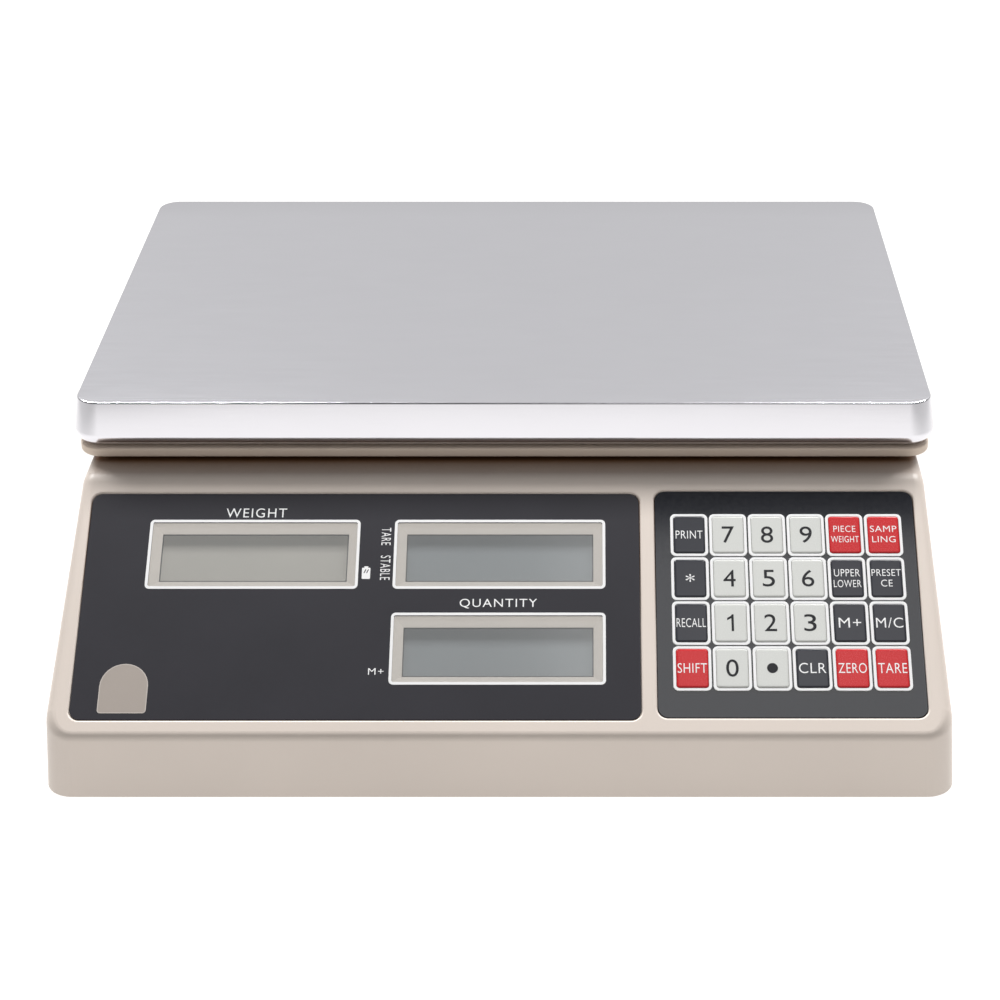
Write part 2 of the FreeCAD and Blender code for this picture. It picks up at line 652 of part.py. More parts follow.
def housing_screws():
    up, down = (0, 0, 1), (0, 0, -1)
    out = PANEL.Rotation.multVec(Vector(0, 0, 1))
    screws = [screw(FLOOR_LOW + SCREW_WELL_DEPTH, up, place) for place in SCREW_PLACES]
    screws += [screw(FLOOR_LOW, up, place) for place in door_screws()]
    screws += [screw(MAIN_BOARD_LOW[2] + BOARD_THICK, down, place) for place in main_board_screws()]
    screws += [screw(TRANSFORMER_SEAT[1] + STRAP_THICK, down, place) for place in transformer_screws()]
    for u, v in DISPLAY_POSTS:
        seat = PANEL.multVec(Vector(u, v, DISPLAY_BOARD_TOP - BOARD_THICK))
        screws.append(screw(seat.z, out, (seat.x, seat.y)))
    save("housing_screws", *screws)


# ---------------------------------------------------------------- display and keypad

def display_overlay():
    sheet = box_between(DISPLAY_LOW, DISPLAY_HIGH, DISPLAY_RECESS, OVERLAY_TOP, OVERLAY_CORNER_R)
    save("display_overlay", on_panel(sheet))


def displays():
    """Each display is a glass sandwich on a backlight block."""
    glass_top = BEZEL_DEPTH - LCD_GAP
    glass_low = glass_top - LCD_GLASS[2]
    for node, centre in WINDOW_CENTRES.items():
        glass = block(LCD_GLASS[:2], glass_low, glass_top, 0.5, centre)
        backlight = block(LCD_BACKLIGHT, DISPLAY_BOARD_TOP, glass_low, 1.0, centre)
        save(node, on_panel(glass.fuse(backlight)))


def display_board():
    """Board behind the displays, with its chips and lead socket on the inner side."""
    low = DISPLAY_BOARD_TOP - BOARD_THICK
    board = box_between(*DISPLAY_BOARD, low, DISPLAY_BOARD_TOP, 1.5)
    chips = [block(CHIP[:2], low - CHIP[2], low, 0.0, centre) for centre in DISPLAY_CHIPS]
    socket = block(SOCKET[:2], low - SOCKET[2], low, 0.0, DISPLAY_SOCKET)
    hole_r = SCREW_R + SCREW_CLEAR
    holes = [cylinder(hole_r, low - REACH, DISPLAY_BOARD_TOP + REACH, place) for place in DISPLAY_POSTS]
    save("display_board", on_panel(board.fuse([*chips, socket]).cut(holes)))


def key_places():
    """Name and panel place of every key, row by row from the top."""
    places = {}
    for row, names in enumerate(KEY_ROWS):
        for column, name in enumerate(names):
            u = KEY_GRID_CENTRE[0] + (column - 2.5) * KEY_PITCH[0]
            v = KEY_GRID_CENTRE[1] + (1.5 - row) * KEY_PITCH[1]
            places[f"key_{name}"] = (u, v)
    return places


def keypad_overlay():
    """Facing sheet on its spacer, with a raised rim round every key."""
    circuit_top = KEYPAD_RECESS + CIRCUIT_THICK
    sheet = box_between(KEYPAD_LOW, KEYPAD_HIGH, circuit_top, OVERLAY_TOP, OVERLAY_CORNER_R)
    inner = grown(KEY_RIM, -KEY_RIM_WIDTH)
    rims = [block(KEY_RIM, OVERLAY_TOP - 0.1, KEY_RIM_TOP, 2.0, place) for place in key_places().values()]
    cuts = []
    for place in key_places().values():
        cuts.append(block(inner, circuit_top - REACH, KEY_RIM_TOP + REACH, 1.2, place))
        cuts.append(block(KEY_SPACER_HOLE, circuit_top - REACH, OVERLAY_TOP - 0.5, 1.5, place))
    save("keypad_overlay", on_panel(sheet.fuse(rims).cut(cuts)))


def keypad_circuit():
    """Printed circuit sheet with a snap dome under every key and a tail through the panel."""
    top = KEYPAD_RECESS + CIRCUIT_THICK
    corner_r = OVERLAY_CORNER_R - CIRCUIT_INSET
    sheet = box_between(KEYPAD_LOW, KEYPAD_HIGH, KEYPAD_RECESS, top, corner_r, -CIRCUIT_INSET)
    domes = [Part.makeCone(*DOME_R, DOME_HEIGHT, Vector(u, v, top)) for u, v in key_places().values()]
    tail = box_between(*CIRCUIT_TAIL, CIRCUIT_TAIL_LOW, top)
    save("keypad_circuit", on_panel(sheet.fuse([*domes, tail])))


def keys():
    """Caps with a hidden flange that keeps them under the facing sheet."""
    size = grown(KEY_RIM, -(KEY_RIM_WIDTH + KEY_SIDE_GAP))
    for node, place in key_places().items():
        cap = block(size, KEY_LOW, KEY_TOP, KEY_CORNER_R, place)
        cap = cap.makeFillet(KEY_EDGE_R, flat_edges_at(cap, KEY_TOP))
        flange = block(KEY_FLANGE[:2], KEY_LOW, KEY_LOW + KEY_FLANGE[2], 1.3, place)
        save(node, on_panel(cap.fuse(flange)))


# ---------------------------------------------------------------- weighing platform

def stop_places():
    return [(x, PAN_Y + y) for x in (-STOP_X, STOP_X) for y in (-STOP_OFFSET_Y, STOP_OFFSET_Y)]


def cell_top():
    return CELL_LOW + CELL_HEIGHT


def load_cell():
    """Single-point aluminium cell with a double-bored thin section at its middle."""
    centre = Vector(0, PAN_Y, CELL_LOW + CELL_HEIGHT / 2)
    bar = block((CELL_LENGTH, CELL_WIDTH), CELL_LOW, CELL_LOW + CELL_HEIGHT, 1.0, (0, PAN_Y))
    across = CELL_WIDTH + 2 * REACH
    cuts = [crosswise(CELL_BORE_R, across, centre + Vector(x, 0, 0)) for x in (-CELL_BORE_X, CELL_BORE_X)]
    slot_low = centre.z - CELL_SLOT_HEIGHT / 2
    cuts.append(block((2 * CELL_BORE_X, across), slot_low, slot_low + CELL_SLOT_HEIGHT, 0.0, (0, PAN_Y)))
    for x in CELL_BOLT_X:
        cuts.append(cylinder(BOLT_R + THREAD_GAP, CELL_LOW - REACH, CELL_LOW + CELL_THREAD, (-x, PAN_Y)))
        cuts.append(cylinder(BOLT_R + THREAD_GAP, cell_top() - CELL_THREAD, cell_top() + REACH, (x, PAN_Y)))
    save("load_cell", bar.cut(cuts))


def load_cell_bolts():
    bolts = [socket_bolt(CELL_SEAT_Z, (0, 0, 1), (-x, PAN_Y), CELL_BOLT_LENGTH) for x in CELL_BOLT_X]
    save("load_cell_bolts", *bolts)


def overload_stops():
    """Hex-head screws with lock nuts, just below the bracket."""
    top = BRACKET_LOW - STOP_GAP
    head_low = top - HEX_HEAD_HEIGHT
    boss_top = STOP_BOSS[1]
    stops = []
    for place in stop_places():
        shank = cylinder(BOLT_R, SEAM_Z + 2 * REACH, head_low, place)
        head = hexagon(HEX_ACROSS, head_low, top, place)
        nut = hexagon(HEX_ACROSS, boss_top, boss_top + HEX_NUT_HEIGHT, place)
        stops.append(shank.fuse([head, nut]))
    save("overload_stops", *stops)


def platform_bracket():
    """H-shaped plate over the load cell with four posts that reach up through the deck."""
    middle = (0, PAN_Y)
    plate = block((2 * POST_X, CELL_WIDTH), BRACKET_LOW, BRACKET_TOP, 0.0, middle)
    beam = (BEAM_WIDTH, 2 * POST_OFFSET_Y + BEAM_WIDTH)
    beams = [block(beam, BRACKET_LOW, BRACKET_TOP, 10.0, (x, PAN_Y)) for x in (-POST_X, POST_X)]
    pad = block(CELL_PAD, cell_top(), BRACKET_LOW, 0.0, (CELL_PAD_X, PAN_Y))
    posts = [cylinder(POST_R, BRACKET_LOW, POST_TOP, place) for place in POST_PLACES]
    body = plate.fuse([*beams, pad, *posts])
    thread_low = POST_TOP - PLATFORM_BOLT_LENGTH + 0.5
    cuts = [cylinder(BOLT_R + THREAD_GAP, thread_low, POST_TOP + REACH, place) for place in POST_PLACES]
    cuts += [cylinder(BOLT_HOLE_R, cell_top() - REACH, BRACKET_TOP + REACH, (x, PAN_Y)) for x in CELL_BOLT_X]
    save("platform_bracket", body.cut(cuts).removeSplitter())


def platform_bolts():
    bolts = [socket_bolt(BRACKET_TOP, (0, 0, -1), (x, PAN_Y), PLATFORM_BOLT_LENGTH) for x in CELL_BOLT_X]
    seat = POST_TOP + TRAY_SEAT
    bolts += [socket_bolt(seat, (0, 0, -1), place, PLATFORM_BOLT_LENGTH) for place in POST_PLACES]
    save("platform_bolts", *bolts)


def cushion_places():
    across, along = CUSHION_PLACE
    return [(x, PAN_Y + y) for x in (-across, across) for y in (-along, along)]


def pan_tray():
    """Rim under the pan's hem, and a ribbed raised middle that carries the cushions."""
    rim_size = (PAN_WIDTH - 2 * TRAY_INSET, PAN_DEPTH - 2 * TRAY_INSET)
    top_size = grown(rim_size, -TRAY_RIM_WIDTH)
    inner = grown(top_size, -TRAY_WALL)
    middle = (0, PAN_Y)
    rim = block(rim_size, TRAY_LOW, TRAY_RIM_TOP, PAN_CORNER_R - TRAY_INSET, middle)
    rim = rim.makeFillet(TRAY_RIM_EDGE_R, flat_edges_at(rim, TRAY_LOW) + flat_edges_at(rim, TRAY_RIM_TOP))
    raised = block(top_size, TRAY_LOW, TRAY_TOP, TRAY_EDGE_R, middle)
    raised = raised.makeFillet(TRAY_EDGE_R - REACH, flat_edges_at(raised, TRAY_TOP))
    under = TRAY_TOP - TRAY_WALL
    body = rim.fuse(raised).cut(block(inner, TRAY_LOW - REACH, under, 0.0, middle))
    rib_low = under - RIB_HEIGHT
    ribs = [block((inner[0] + REACH, RIB_THICK), rib_low, under, 0.0, (0, PAN_Y + y)) for y in RIB_Y]
    ribs += [block((RIB_THICK, inner[1] + REACH), rib_low, under, 0.0, (x, PAN_Y)) for x in RIB_X]
    bosses = [cylinder(TRAY_BOSS_R, POST_TOP, under + REACH, place) for place in POST_PLACES]
    body = body.fuse([*ribs, *bosses])
    cuts = []
    for place in POST_PLACES:
        cuts.append(cylinder(BOLT_HEAD_HOLE_R, POST_TOP + TRAY_SEAT, TRAY_TOP + REACH, place))
        cuts.append(cylinder(BOLT_HOLE_R, POST_TOP - REACH, TRAY_TOP, place))
    seat = (TRAY_TOP - CUSHION_SINK, TRAY_TOP + REACH)
    cuts += [cylinder(CUSHION_R + 0.1, *seat, place) for place in cushion_places()]
    save("pan_tray", body.cut(cuts).removeSplitter())


def pan_cushions():
    cushions = []
    top = PAN_TOP - PAN_SHEET
    for place in cushion_places():
        disc = cylinder(CUSHION_R, TRAY_TOP - CUSHION_SINK, top, place)
        cushions.append(disc.makeChamfer(CUSHION_EDGE, flat_edges_at(disc, top)))
    save("pan_cushions", *cushions)


def pan_form(inset):
    """Flared block with a round top edge and a round bottom edge, all inset from the pan's outside."""
    low, high = PAN_LOW + inset, PAN_TOP - inset
    hem_r = PAN_HEM_R - inset
    foot = hem_r / math.tan(math.radians(45 - PAN_FLARE_DEG / 2)) - hem_r
    low_half = (PAN_WIDTH / 2 - inset + foot, PAN_DEPTH / 2 - inset + foot)
    lean = (high - low) * math.tan(math.radians(PAN_FLARE_DEG))
    high_half = (low_half[0] - lean, low_half[1] - lean)
    form = leaning_block(low_half, high_half, low, high, PAN_CORNER_R - inset)
    form = form.makeFillet(PAN_EDGE_R - inset, flat_edges_at(form, high))
    form = form.makeFillet(hem_r, flat_edges_at(form, low))
    form.translate(Vector(0, PAN_Y, 0))
    return form


def steel_pan():
    """Pressed sheet, open below inside its turned-in hem."""
    mouth_size = (PAN_WIDTH - 2 * PAN_LIP, PAN_DEPTH - 2 * PAN_LIP)
    mouth_r = PAN_CORNER_R - PAN_LIP
    mouth = block(mouth_size, PAN_LOW - REACH, PAN_LOW + PAN_HEM_R / 2, mouth_r, (0, PAN_Y))
    save("steel_pan", pan_form(0.0).cut([pan_form(PAN_SHEET), mouth]))


# ---------------------------------------------------------------- feet

def feet():
    """Each foot is a rubber pad and a knurled wheel on a stud that turns in the base."""
    for corner, place in FOOT_PLACES.items():
        pad = cylinder(PAD_R, 0, PAD_TOP, place)
        pad = pad.makeFillet(PAD_EDGE_R, flat_edges_at(pad, 0))
        socket = cylinder(WHEEL_HUB_R + HUB_GAP, WHEEL_HUB_LOW, PAD_TOP + REACH, place)
        save(f"foot_pad_{corner}", pad.cut(socket))
        save(f"foot_wheel_{corner}", foot_wheel(place))


def foot_wheel(place):
    wheel = cylinder(WHEEL_R, WHEEL_LOW, WHEEL_TOP, place)
    wheel = wheel.makeChamfer(WHEEL_EDGE, flat_edges_at(wheel, WHEEL_LOW) + flat_edges_at(wheel, WHEEL_TOP))
    grooves = []
    for i in range(GROOVES):
        angle = 2 * math.pi * i / GROOVES
        centre = (place[0] + GROOVE_RING_R * math.cos(angle), place[1] + GROOVE_RING_R * math.sin(angle))
        grooves.append(cylinder(GROOVE_R, WHEEL_LOW - REACH, WHEEL_TOP + REACH, centre))
    stud = cylinder(STUD_R, WHEEL_TOP - REACH, STUD_TOP, place)
    stud = stud.makeChamfer(STUD_POINT, flat_edges_at(stud, STUD_TOP))
    hub = cylinder(WHEEL_HUB_R, WHEEL_HUB_LOW, WHEEL_LOW + REACH, place)
    return wheel.cut(grooves).fuse([stud, hub])


# ---------------------------------------------------------------- rear connectors

def d_block(width, height, low, high):
    """D-shaped connector outline, narrower at its lower side."""
    lean = height * math.tan(math.radians(D_LEAN_DEG))
    half_w, half_h = width / 2, height / 2
    points = [(-half_w, -half_h), (half_w, -half_h), (half_w - lean, half_h), (-half_w + lean, half_h)]
    return prism(points, low, high, D_CORNER_R)


def mains_inlet():
    """Three-pin appliance inlet with its lower corners cut off."""
    flange_top = INLET_FLANGE[2]
    flange = block(INLET_FLANGE[:2], 0, flange_top, 2.5)
    flange = flange.makeFillet(0.8, flat_edges_at(flange, flange_top))
    body = flange.fuse(block(INLET_BODY, -INLET_DEPTH, REACH / 2, 1.5))
    half_w, half_h, cut_off, depth = INLET_SOCKET
    outline = [(-half_w, -half_h), (half_w, -half_h), (half_w, half_h - cut_off)]
    outline += [(half_w - cut_off, half_h), (cut_off - half_w, half_h), (-half_w, half_h - cut_off)]
    body = body.cut(prism(outline, -depth, flange_top + REACH, 0.8))
    pins = [block(INLET_PIN, -depth - 0.5, -INLET_PIN_INSET, 0.0, place) for place in INLET_PIN_PLACES]
    tab_out = -INLET_DEPTH - INLET_TAB[2]
    tabs = [block(INLET_TAB[:2], tab_out, REACH - INLET_DEPTH, 0.0, (x, 2 * y)) for x, y in INLET_PIN_PLACES]
    save("mains_inlet", on_rear(body.fuse([*pins, *tabs]), INLET_X))


def serial_port():
    """Nine-way D connector behind the panel, with hexagonal jack posts outside."""
    thick = SERIAL_FLANGE[2]
    flange = block(SERIAL_FLANGE[:2], -WALL - thick, -WALL, 1.0)
    shell = d_block(*SERIAL_SHELL, -WALL - 0.1, SERIAL_OUT)
    rear = d_block(*SERIAL_REAR, -WALL - SERIAL_DEPTH, 0.1 - WALL - thick)
    pitch, half_row = CONTACT_PITCH
    contacts = [(pitch * (i - 2), -half_row) for i in range(5)]
    contacts += [(pitch * (i - 1.5), half_row) for i in range(4)]
    cuts = [cylinder(CONTACT_R, -SERIAL_OUT, SERIAL_OUT + REACH, place) for place in contacts]
    stem_low = -WALL - JACK_STEM[1]
    cuts += [cylinder(JACK_STEM[0] + 0.05, stem_low - REACH, REACH / 2 - WALL, (x, 0)) for x in JACK_X]
    jacks = []
    for x in JACK_X:
        stem = cylinder(JACK_STEM[0], stem_low, REACH / 2, (x, 0))
        post = hexagon(JACK_POST[0], 0, JACK_POST[1], (x, 0)).fuse(stem)
        jacks.append(post.cut(cylinder(JACK_HOLE_R, -WALL - REACH, JACK_POST[1] + REACH, (x, 0))))
    body = flange.fuse([shell, rear]).cut(cuts)
    save("serial_port", on_rear(body, SERIAL_X), *[on_rear(jack, SERIAL_X) for jack in jacks])


def hinge_pin(radius, length, z):
    """Cylinder along X, centred over the switch's middle."""
    return Part.makeCylinder(radius, length, Vector(-length / 2, 0, z), Vector(1, 0, 0))


def power_switch():
    """Rocker in a framed body. The rocker turns about X and lies at rest in its off position."""
    frame_top = SWITCH_FRAME[2]
    frame = block(SWITCH_FRAME[:2], 0, frame_top, 1.0)
    frame = frame.makeFillet(0.6, flat_edges_at(frame, frame_top))
    body = frame.fuse(block(SWITCH_BODY, -SWITCH_DEPTH, REACH / 2, 0.3))
    mouth = block(SWITCH_MOUTH[:2], -SWITCH_MOUTH[2], frame_top + REACH)
    pin_r, pin_length = ROCKER_PIN
    hinge_hole = hinge_pin(pin_r + 0.05, pin_length + 0.3, ROCKER_PIVOT_Y - PANEL_FACE_Y)
    tab_span = (-SWITCH_DEPTH - SWITCH_TAB[2], REACH - SWITCH_DEPTH)
    tabs = [block(SWITCH_TAB[:2], *tab_span, 0.0, (0, y)) for y in (-SWITCH_TAB_Y, SWITCH_TAB_Y)]
    save("switch_body", on_rear(body.cut([mouth, hinge_hole]).fuse(tabs), SWITCH_X))

    outline = [Vector(-ROCKER_WIDTH / 2, y, z) for y, z in ROCKER_PROFILE]
    rocker = Part.Face(Part.makePolygon(outline + outline[:1])).extrude(Vector(ROCKER_WIDTH, 0, 0))
    rocker = rocker.fuse(hinge_pin(pin_r, pin_length, 0))
    rocker.rotate(Vector(0, 0, 0), Vector(1, 0, 0), ROCKER_TILT)
    save("switch_rocker", on_rear(rocker, SWITCH_X, ROCKER_PIVOT_Y))


# ---------------------------------------------------------------- parts held inside

def standing(size, level, place):
    """Plain block that stands on a level."""
    return block(size[:2], level, level + size[2], 0.0, place)


def main_board_screws():
    low_x, low_y, _ = MAIN_BOARD_LOW
    high_x, high_y = low_x + MAIN_BOARD_SIZE[0], low_y + MAIN_BOARD_SIZE[1]
    inset = BOARD_SCREW_INSET
    return [(x, y) for x in (low_x + inset, high_x - inset) for y in (low_y + inset, high_y - inset)]


def main_board():
    low_x, low_y, low = MAIN_BOARD_LOW
    top = low + BOARD_THICK
    high_corner = (low_x + MAIN_BOARD_SIZE[0], low_y + MAIN_BOARD_SIZE[1])
    board = box_between((low_x, low_y), high_corner, low, top, 1.5)
    fitted = [standing(PROCESSOR, top, PROCESSOR_PLACE), standing(AMPLIFIER, top, AMPLIFIER_PLACE)]
    fitted.append(standing(REGULATOR, top, REGULATOR_PLACE))
    fitted.append(standing(CELL_PLUG, top, CELL_PLUG_PLACE))
    fitted.append(standing(BATTERY_PLUG, top, BATTERY_PLUG_PLACE))
    fitted.append(standing(SOCKET, top, DISPLAY_PLUG_PLACE))
    fitted += [cylinder(CAPACITOR[0], top, top + CAPACITOR[1], place) for place in CAPACITOR_PLACES]
    hole_r = SCREW_R + SCREW_CLEAR
    holes = [cylinder(hole_r, low - REACH, top + REACH, place) for place in main_board_screws()]
    save("main_board", board.fuse(fitted).cut(holes))


def transformer_screws():
    x, y = TRANSFORMER_PLACE
    return [(x, y - STRAP_SCREW_Y), (x, y + STRAP_SCREW_Y)]


def transformer():
    """Laminated core, its winding and a strap with two feet."""
    seat = TRANSFORMER_SEAT[1]
    core = standing(CORE, seat, TRANSFORMER_PLACE)
    winding_low = seat + (CORE[2] - WINDING[2]) / 2
    winding = block(WINDING[:2], winding_low, winding_low + WINDING[2], 4.0, TRANSFORMER_PLACE)
    strap = block(STRAP_SIZE, seat, seat + STRAP_THICK, 3.0, TRANSFORMER_PLACE)
    hole_r = SCREW_R + SCREW_CLEAR
    holes = [cylinder(hole_r, seat - REACH, seat + 2 * STRAP_THICK, place) for place in transformer_screws()]
    save("transformer", core.fuse([winding, strap]).cut(holes))


def battery():
    """Sealed lead-acid block with two blade terminals on top."""
    top = BATTERY_LOW + BATTERY_SIZE[2]
    seam = top - BATTERY_LID
    case = block(BATTERY_SIZE[:2], BATTERY_LOW, seam, 1.5, (BATTERY_X, 0))
    lid = block(grown(BATTERY_SIZE[:2], -BATTERY_LID / 2), seam, top, 1.5, (BATTERY_X, 0))
    half_pitch, y = BATTERY_TAB_PLACE
    blades = [standing(BATTERY_TAB, top, (x, y)) for x in (BATTERY_X - half_pitch, BATTERY_X + half_pitch)]
    save("battery", case.fuse([lid, *blades]))


def bubble_level():
    """Round spirit level in the deck, read with the pan and tray lifted off."""
    body = cylinder(LEVEL_R, DECK_Z - LEVEL_DEPTH, DECK_Z, LEVEL_PLACE)
    flange_top = DECK_Z + LEVEL_FLANGE[1]
    flange = cylinder(LEVEL_R + LEVEL_FLANGE[0], DECK_Z, flange_top, LEVEL_PLACE)
    dome = cylinder(LEVEL_R - LEVEL_DOME[0], flange_top, flange_top + LEVEL_DOME[1], LEVEL_PLACE)
    save("bubble_level", body.fuse([flange, dome]))


def wiring():
    """Leads between the boards and what they serve."""
    board_top = MAIN_BOARD_LOW[2] + BOARD_THICK
    mains = [(-112, 144, 33), (-112, 110, 33), (-138, 98, 33), (-138, 68, 33)]

    cell_z = CELL_LOW + CELL_HEIGHT / 2
    plug_z = board_top + CELL_PLUG[2] / 2
    cell = [(-65, PAN_Y, cell_z), (-82, PAN_Y, cell_z), (-85, 25, plug_z), (-85, -37, plug_z)]

    down_the_wall = [(124, -43, 81), (124, -60, 81), (118, -66, 50)]
    along_the_floor = [(100, -66, 14), (40, -66, 14), (0, -62, 22), (-25, -62, 22)]

    face = DISPLAY_BOARD_TOP - BOARD_THICK - SOCKET[2]
    display = [tuple(PANEL.multVec(Vector(*DISPLAY_SOCKET, face - run))) for run in (0, 8)]
    display += [(-95, -102, 23.2), (-95, -66, 23.2)]

    leads = [lead(route, LEAD_R) for route in (mains, cell, down_the_wall + along_the_floor)]
    save("wiring", *leads, lead(display, DISPLAY_LEAD_R))


os.makedirs("parts", exist_ok=True)
upper_housing()
base_housing()
battery_door()
housing_screws()
display_overlay()
displays()
display_board()
keypad_overlay()
keypad_circuit()
keys()
load_cell()
load_cell_bolts()
overload_stops()
platform_bracket()
platform_bolts()
pan_tray()
pan_cushions()
steel_pan()
feet()
mains_inlet()
serial_port()
power_switch()
main_board()
transformer()
battery()
bubble_level()
wiring()
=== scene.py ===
import json
import math

import bmesh
import bpy
from mathutils import Matrix, Vector


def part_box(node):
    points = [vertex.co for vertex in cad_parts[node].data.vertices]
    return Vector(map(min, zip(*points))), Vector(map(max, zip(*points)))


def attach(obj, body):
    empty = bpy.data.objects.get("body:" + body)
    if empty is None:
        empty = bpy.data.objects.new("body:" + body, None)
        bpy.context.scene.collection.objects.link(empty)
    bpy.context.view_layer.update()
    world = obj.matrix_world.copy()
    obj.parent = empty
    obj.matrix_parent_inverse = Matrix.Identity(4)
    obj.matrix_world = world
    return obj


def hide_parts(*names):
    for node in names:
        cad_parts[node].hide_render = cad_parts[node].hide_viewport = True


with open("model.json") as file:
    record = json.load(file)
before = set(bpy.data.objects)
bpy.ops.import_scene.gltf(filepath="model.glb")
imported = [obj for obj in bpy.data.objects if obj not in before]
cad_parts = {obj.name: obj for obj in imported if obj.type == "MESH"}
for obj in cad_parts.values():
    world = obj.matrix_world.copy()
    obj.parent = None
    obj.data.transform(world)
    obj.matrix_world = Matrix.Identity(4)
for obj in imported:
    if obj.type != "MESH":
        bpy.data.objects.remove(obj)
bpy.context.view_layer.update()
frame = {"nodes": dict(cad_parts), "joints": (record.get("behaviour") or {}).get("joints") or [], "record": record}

# A counting scale in metres, in the same frame as the CAD model: X to the right, Y to the rear, Z up.
MM = 0.001

# Operating panel: its own frame runs across, up the slope and outward from the middle of the front fold.
FOLD = Vector((0, -164.78, 29.9)) * MM
PRESS = Vector(next(j["axis"] for j in frame["joints"] if j["name"] == "press_5"))
SLOPE = math.atan2(PRESS.y, -PRESS.z)
PANEL = Matrix.Translation(FOLD) @ Matrix.Rotation(SLOPE, 4, "X")

# Display overlay and windows
FILM_TOP = -0.3 * MM
OVERLAY_RADIUS = 4.0 * MM
WINDOW = (79.1 * MM, 27.6 * MM)
WINDOW_RADIUS = 0.7 * MM
WINDOW_LINE = 1.1 * MM
PANE_GAP = 0.05 * MM
LCD_VIEW = (72.2 * MM, 20.6 * MM)
LCD_FRONT = -3.9 * MM
BEZEL_LEAN = 3.45 * MM
BEZEL_TOP = -0.95 * MM
BADGE = (18.2 * MM, 20.1 * MM)
BADGE_PLACE = (-140.25 * MM, 9.5 * MM)
PRINT_THICK = 0.03 * MM

# Keys
KEY_RIM = (14.4 * MM, 18.2 * MM)
KEY_RIM_WIDTH = 1.1 * MM
KEY_RIM_TOP = 0.1 * MM
KEY_TOP = 0.35 * MM
KEY_GAP = 0.12 * MM
CAP_RADIUS = 1.08 * MM
KEY_HOLE_RADIUS = 1.2 * MM

# Painted shade: the housing's colour is darkened and warmed where it lies in recesses, in place of shade; how far
# a recess is felt, and where the painted shade starts and ends in openness, height and upward slope
PAINTED_SHADE_REACH = 60 * MM
PAINTED_SHADE_OPENNESS = (0.45, 0.95)
PAINTED_SHADE_HEIGHT = (55 * MM, 70 * MM)
PAINTED_SHADE_SLOPE = (0.1, 0.35)


# ---------------------------------------------------------------- materials

def srgb(red, green, blue):
    """Linear colour from 0 to 255 display values."""
    def linear(value):
        share = value / 255
        return share / 12.92 if share <= 0.04045 else ((share + 0.055) / 1.055) ** 2.4
    return (linear(red), linear(green), linear(blue), 1.0)


def shade(colour, factor):
    return tuple(min(1.0, part * factor) for part in colour[:3]) + (1.0,)


class Paint:
    """A principled material and the few node chains that the finishes here are made of."""

    def __init__(self, name):
        self.material = bpy.data.materials.new(name)
        self.material.use_nodes = True
        self.tree = self.material.node_tree
        self.shader = self.tree.nodes["Principled BSDF"]

    def node(self, kind, **settings):
        made = self.tree.nodes.new(kind)
        for key, value in settings.items():
            setattr(made, key, value)
        return made

    def wire(self, source, target):
        self.tree.links.new(source, target)

    def set(self, **values):
        for key, value in values.items():
            self.shader.inputs[key.replace("_", " ")].default_value = value
        return self

    def place(self, stretch=(1, 1, 1)):
        """Position on the object, in metres, stretched per axis."""
        coordinates = self.node("ShaderNodeTexCoord")
        mapping = self.node("ShaderNodeMapping")
        mapping.inputs["Scale"].default_value = stretch
        self.wire(coordinates.outputs["Object"], mapping.inputs["Vector"])
        return mapping.outputs["Vector"]

    def noise(self, per_metre, detail, stretch=(1, 1, 1)):
        made = self.node("ShaderNodeTexNoise")
        made.inputs["Scale"].default_value = per_metre
        made.inputs["Detail"].default_value = detail
        self.wire(self.place(stretch), made.inputs["Vector"])
        return made.outputs["Fac"]

    def span(self, value, low, high, from_low=0.3, from_high=0.7):
        """A value from one range laid on another."""
        made = self.node("ShaderNodeMapRange")
        made.inputs["From Min"].default_value = from_low
        made.inputs["From Max"].default_value = from_high
        made.inputs["To Min"].default_value = low
        made.inputs["To Max"].default_value = high
        self.wire(value, made.inputs["Value"])
        return made.outputs["Result"]

    def mix(self, share, first, second):
        """Colour between two; each is a colour or an output."""
        made = self.node("ShaderNodeMix", data_type="RGBA")
        colours = [s for s in made.inputs if s.type == "RGBA"]
        for socket, colour in zip(colours, (first, second)):
            if isinstance(colour, tuple):
                socket.default_value = colour
            else:
                self.wire(colour, socket)
        self.wire(share, made.inputs["Factor"])
        return next(s for s in made.outputs if s.type == "RGBA")

    def upward(self, vector):
        """Third part of a vector."""
        split = self.node("ShaderNodeSeparateXYZ")
        self.wire(vector, split.inputs["Vector"])
        return split.outputs["Z"]

    def larger(self, first, second):
        made = self.node("ShaderNodeMath", operation="MAXIMUM")
        self.wire(first, made.inputs[0])
        self.wire(second, made.inputs[1])
        return made.outputs["Value"]

    def openness(self):
        """How open the surface lies, from 0 deep in a recess to 1; it masks the painted shade, which is full at 0;
        low and upright faces count as open.
        """
        around = self.node("ShaderNodeAmbientOcclusion", samples=16)
        around.inputs["Distance"].default_value = PAINTED_SHADE_REACH
        normal = self.node("ShaderNodeNewGeometry").outputs["Normal"]
        low = self.span(self.upward(self.place()), 1, 0, *PAINTED_SHADE_HEIGHT)
        upright = self.span(self.upward(normal), 1, 0, *PAINTED_SHADE_SLOPE)
        clear = self.span(around.outputs["AO"], 0, 1, *PAINTED_SHADE_OPENNESS)
        return self.larger(clear, self.larger(low, upright))

    def relief(self, height, depth):
        """Bump of a depth in metres."""
        made = self.node("ShaderNodeBump")
        made.inputs["Strength"].default_value = 1.0
        made.inputs["Distance"].default_value = depth
        self.wire(height, made.inputs["Height"])
        return made.outputs["Normal"]

    def use(self, **outputs):
        for key, output in outputs.items():
            self.wire(output, self.shader.inputs[key.replace("_", " ")])
        return self


